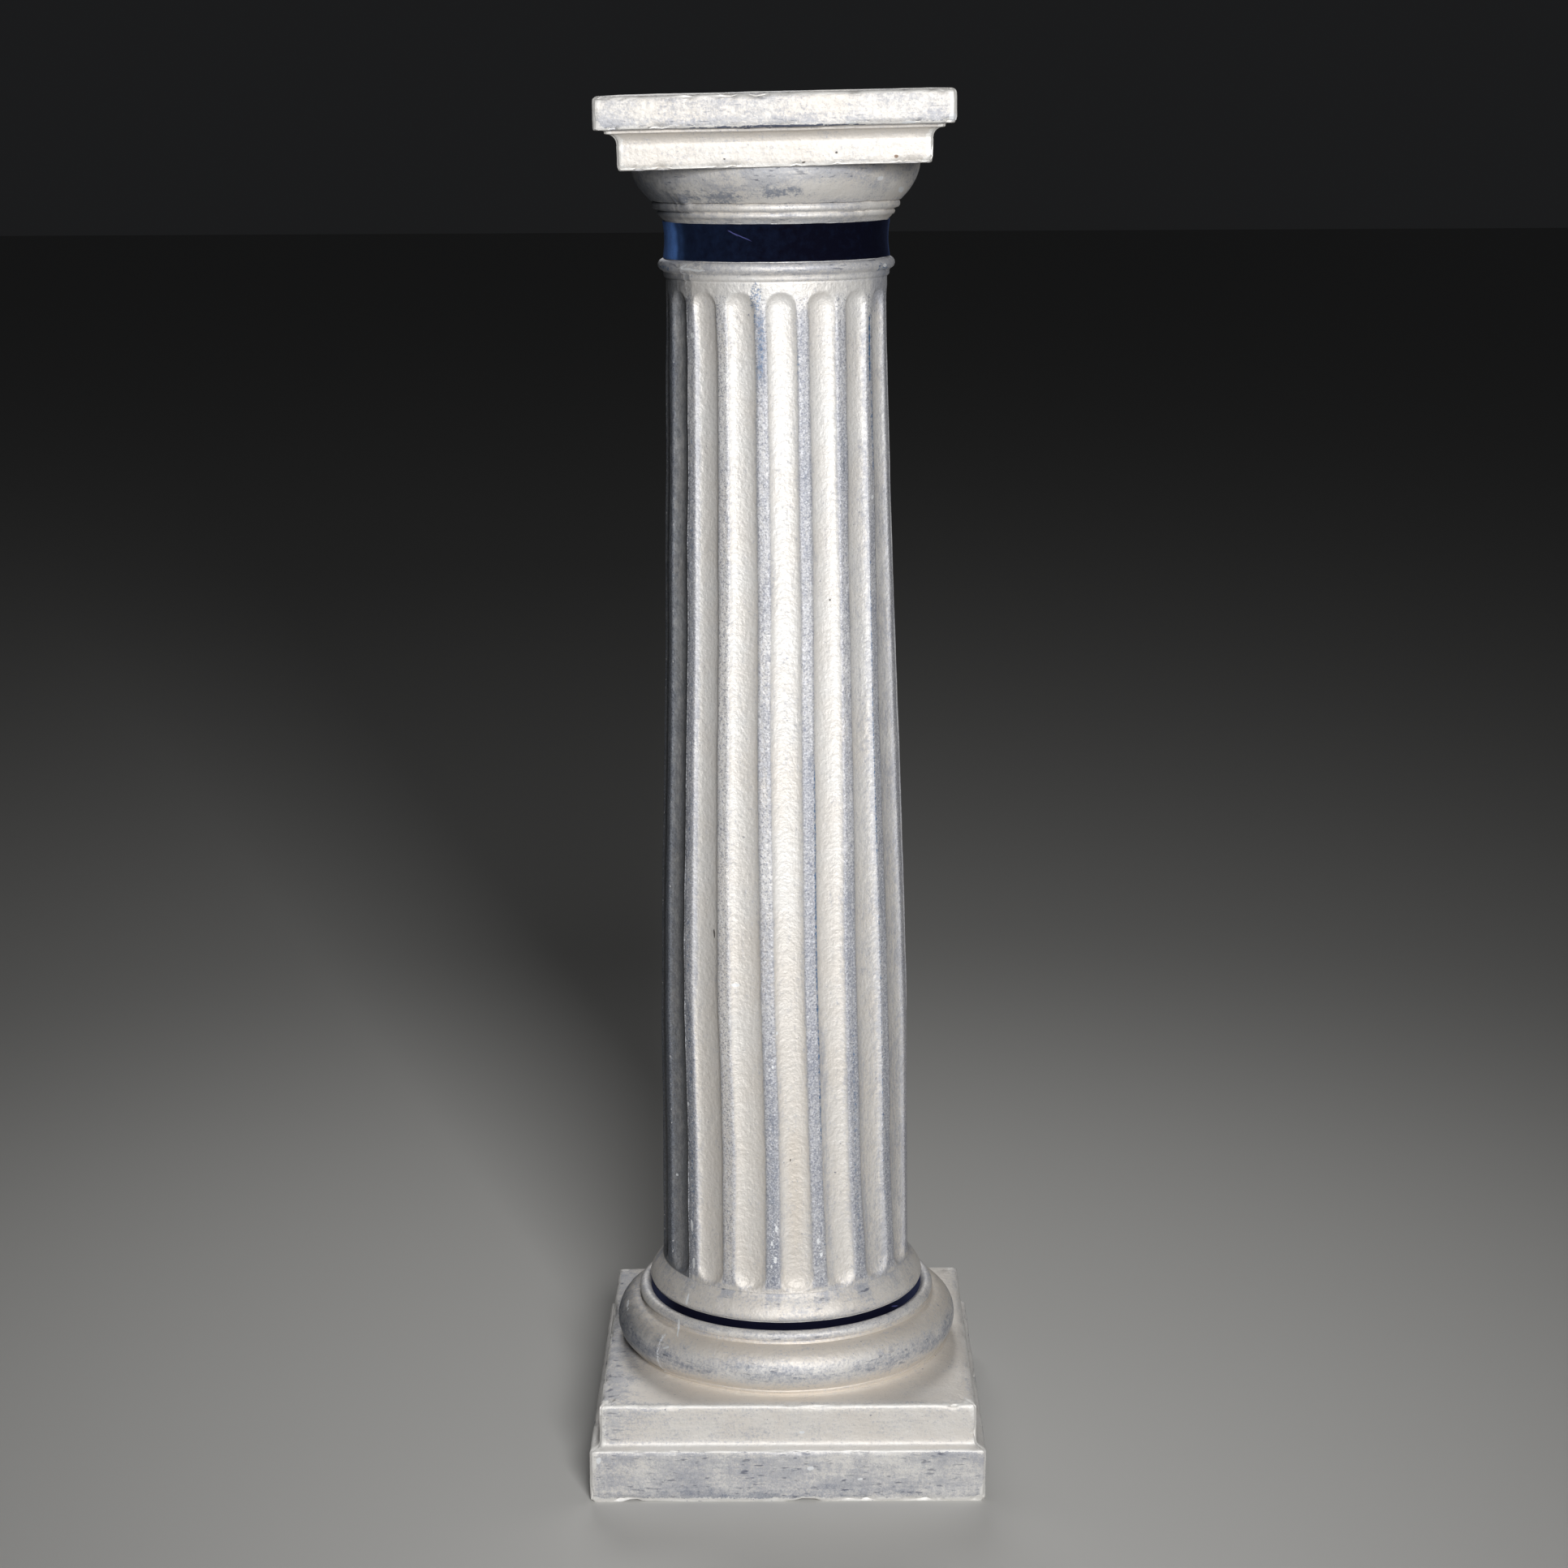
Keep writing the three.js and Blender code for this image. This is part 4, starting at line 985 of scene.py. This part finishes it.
column.data.materials.append(plaster_material())
neck_ribbon.data.materials.append(velvet_material("navy_velvet_wide", srgb(4, 5, 20), srgb(92, 134, 205), (0.25, 0.35, 0.8, 1),
                            [(-35, -91, 1102, 10, 0.40, 22), (-41, -89, 1104.4, 4.5, 0.40, 32)]))
base_ribbon.data.materials.append(velvet_material("navy_velvet_narrow", srgb(11, 12, 30), srgb(74, 84, 126), (0.35, 0.38, 0.7, 1),
                            [(97.3, -75, 144.3, 3.2, 0.5, 20)]))

# ------------------------------------------------------------------ frame
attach(column, "root")
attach(neck_ribbon, "root")
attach(base_ribbon, "root")
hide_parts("column")
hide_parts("neck_ribbon")
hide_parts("base_ribbon")

# ------------------------------------------------------------------ stage
def plain(name, rgb, rough=0.9):
    m = bpy.data.materials.new(name)
    m.use_nodes = True
    b = m.node_tree.nodes["Principled BSDF"]
    b.inputs["Base Color"].default_value = rgb
    b.inputs["Roughness"].default_value = rough
    b.inputs["Specular IOR Level"].default_value = 0.1
    return m


me = bpy.data.meshes.new("floor")
me.from_pydata([(-14, -7, 0), (14, -7, 0), (14, 26, 0), (-14, 26, 0)], [], [(0, 1, 2, 3)])
floor = bpy.data.objects.new("floor", me)
bpy.context.scene.collection.objects.link(floor)
me.materials.append(plain("floor_paint", srgb(206, 205, 202)))

world = bpy.data.worlds.new("soft_room")
world.use_nodes = True
world.node_tree.nodes["Background"].inputs[0].default_value = (0.78, 0.80, 0.84, 1)
world.node_tree.nodes["Background"].inputs[1].default_value = 0.014
bpy.context.scene.world = world


def area(name, at, to, size, spread, watts, colour=(1, 1, 1)):
    li = bpy.data.lights.new(name, "AREA")
    li.shape = "RECTANGLE"
    li.size, li.size_y = size
    li.spread = math.radians(spread)
    li.energy = watts
    li.color = colour
    ob = bpy.data.objects.new(name, li)
    ob.location = at
    ob.rotation_euler = (Vector(to) - Vector(at)).to_track_quat("-Z", "Y").to_euler()
    bpy.context.scene.collection.objects.link(ob)
    return ob


area("key_light", (0.44, -2.75, 1.52), (0, 0, 0.61), (0.8, 0.7), 70, 13.0)
back = area("back_light", (-0.35, 2.7, 2.35), (0, 0, 0.80), (1.3, 0.9), 60, 3.6)
back.visible_camera = False

# ------------------------------------------------------------------ camera
cam = bpy.data.cameras.new("camera")
cam.sensor_width = 36.0
cam.sensor_fit = "HORIZONTAL"
cam.lens = 3849.1 / 1932 * 36.0
cam.clip_start, cam.clip_end = 0.1, 60
camera = bpy.data.objects.new("camera", cam)
bpy.context.scene.collection.objects.link(camera)
direction = Vector((-0.00399, 0.97649, -0.21556)).normalized()
rot = direction.to_track_quat("-Z", "Y").to_matrix().to_4x4() @ Matrix.Rotation(math.radians(-0.306), 4, "Z")
camera.matrix_world = Matrix.Translation((0.0103, -2.7411, 1.2176)) @ rot
bpy.context.scene.camera = camera
bpy.context.scene.view_settings.view_transform = "Standard"
bpy.context.scene.view_settings.look = "None"
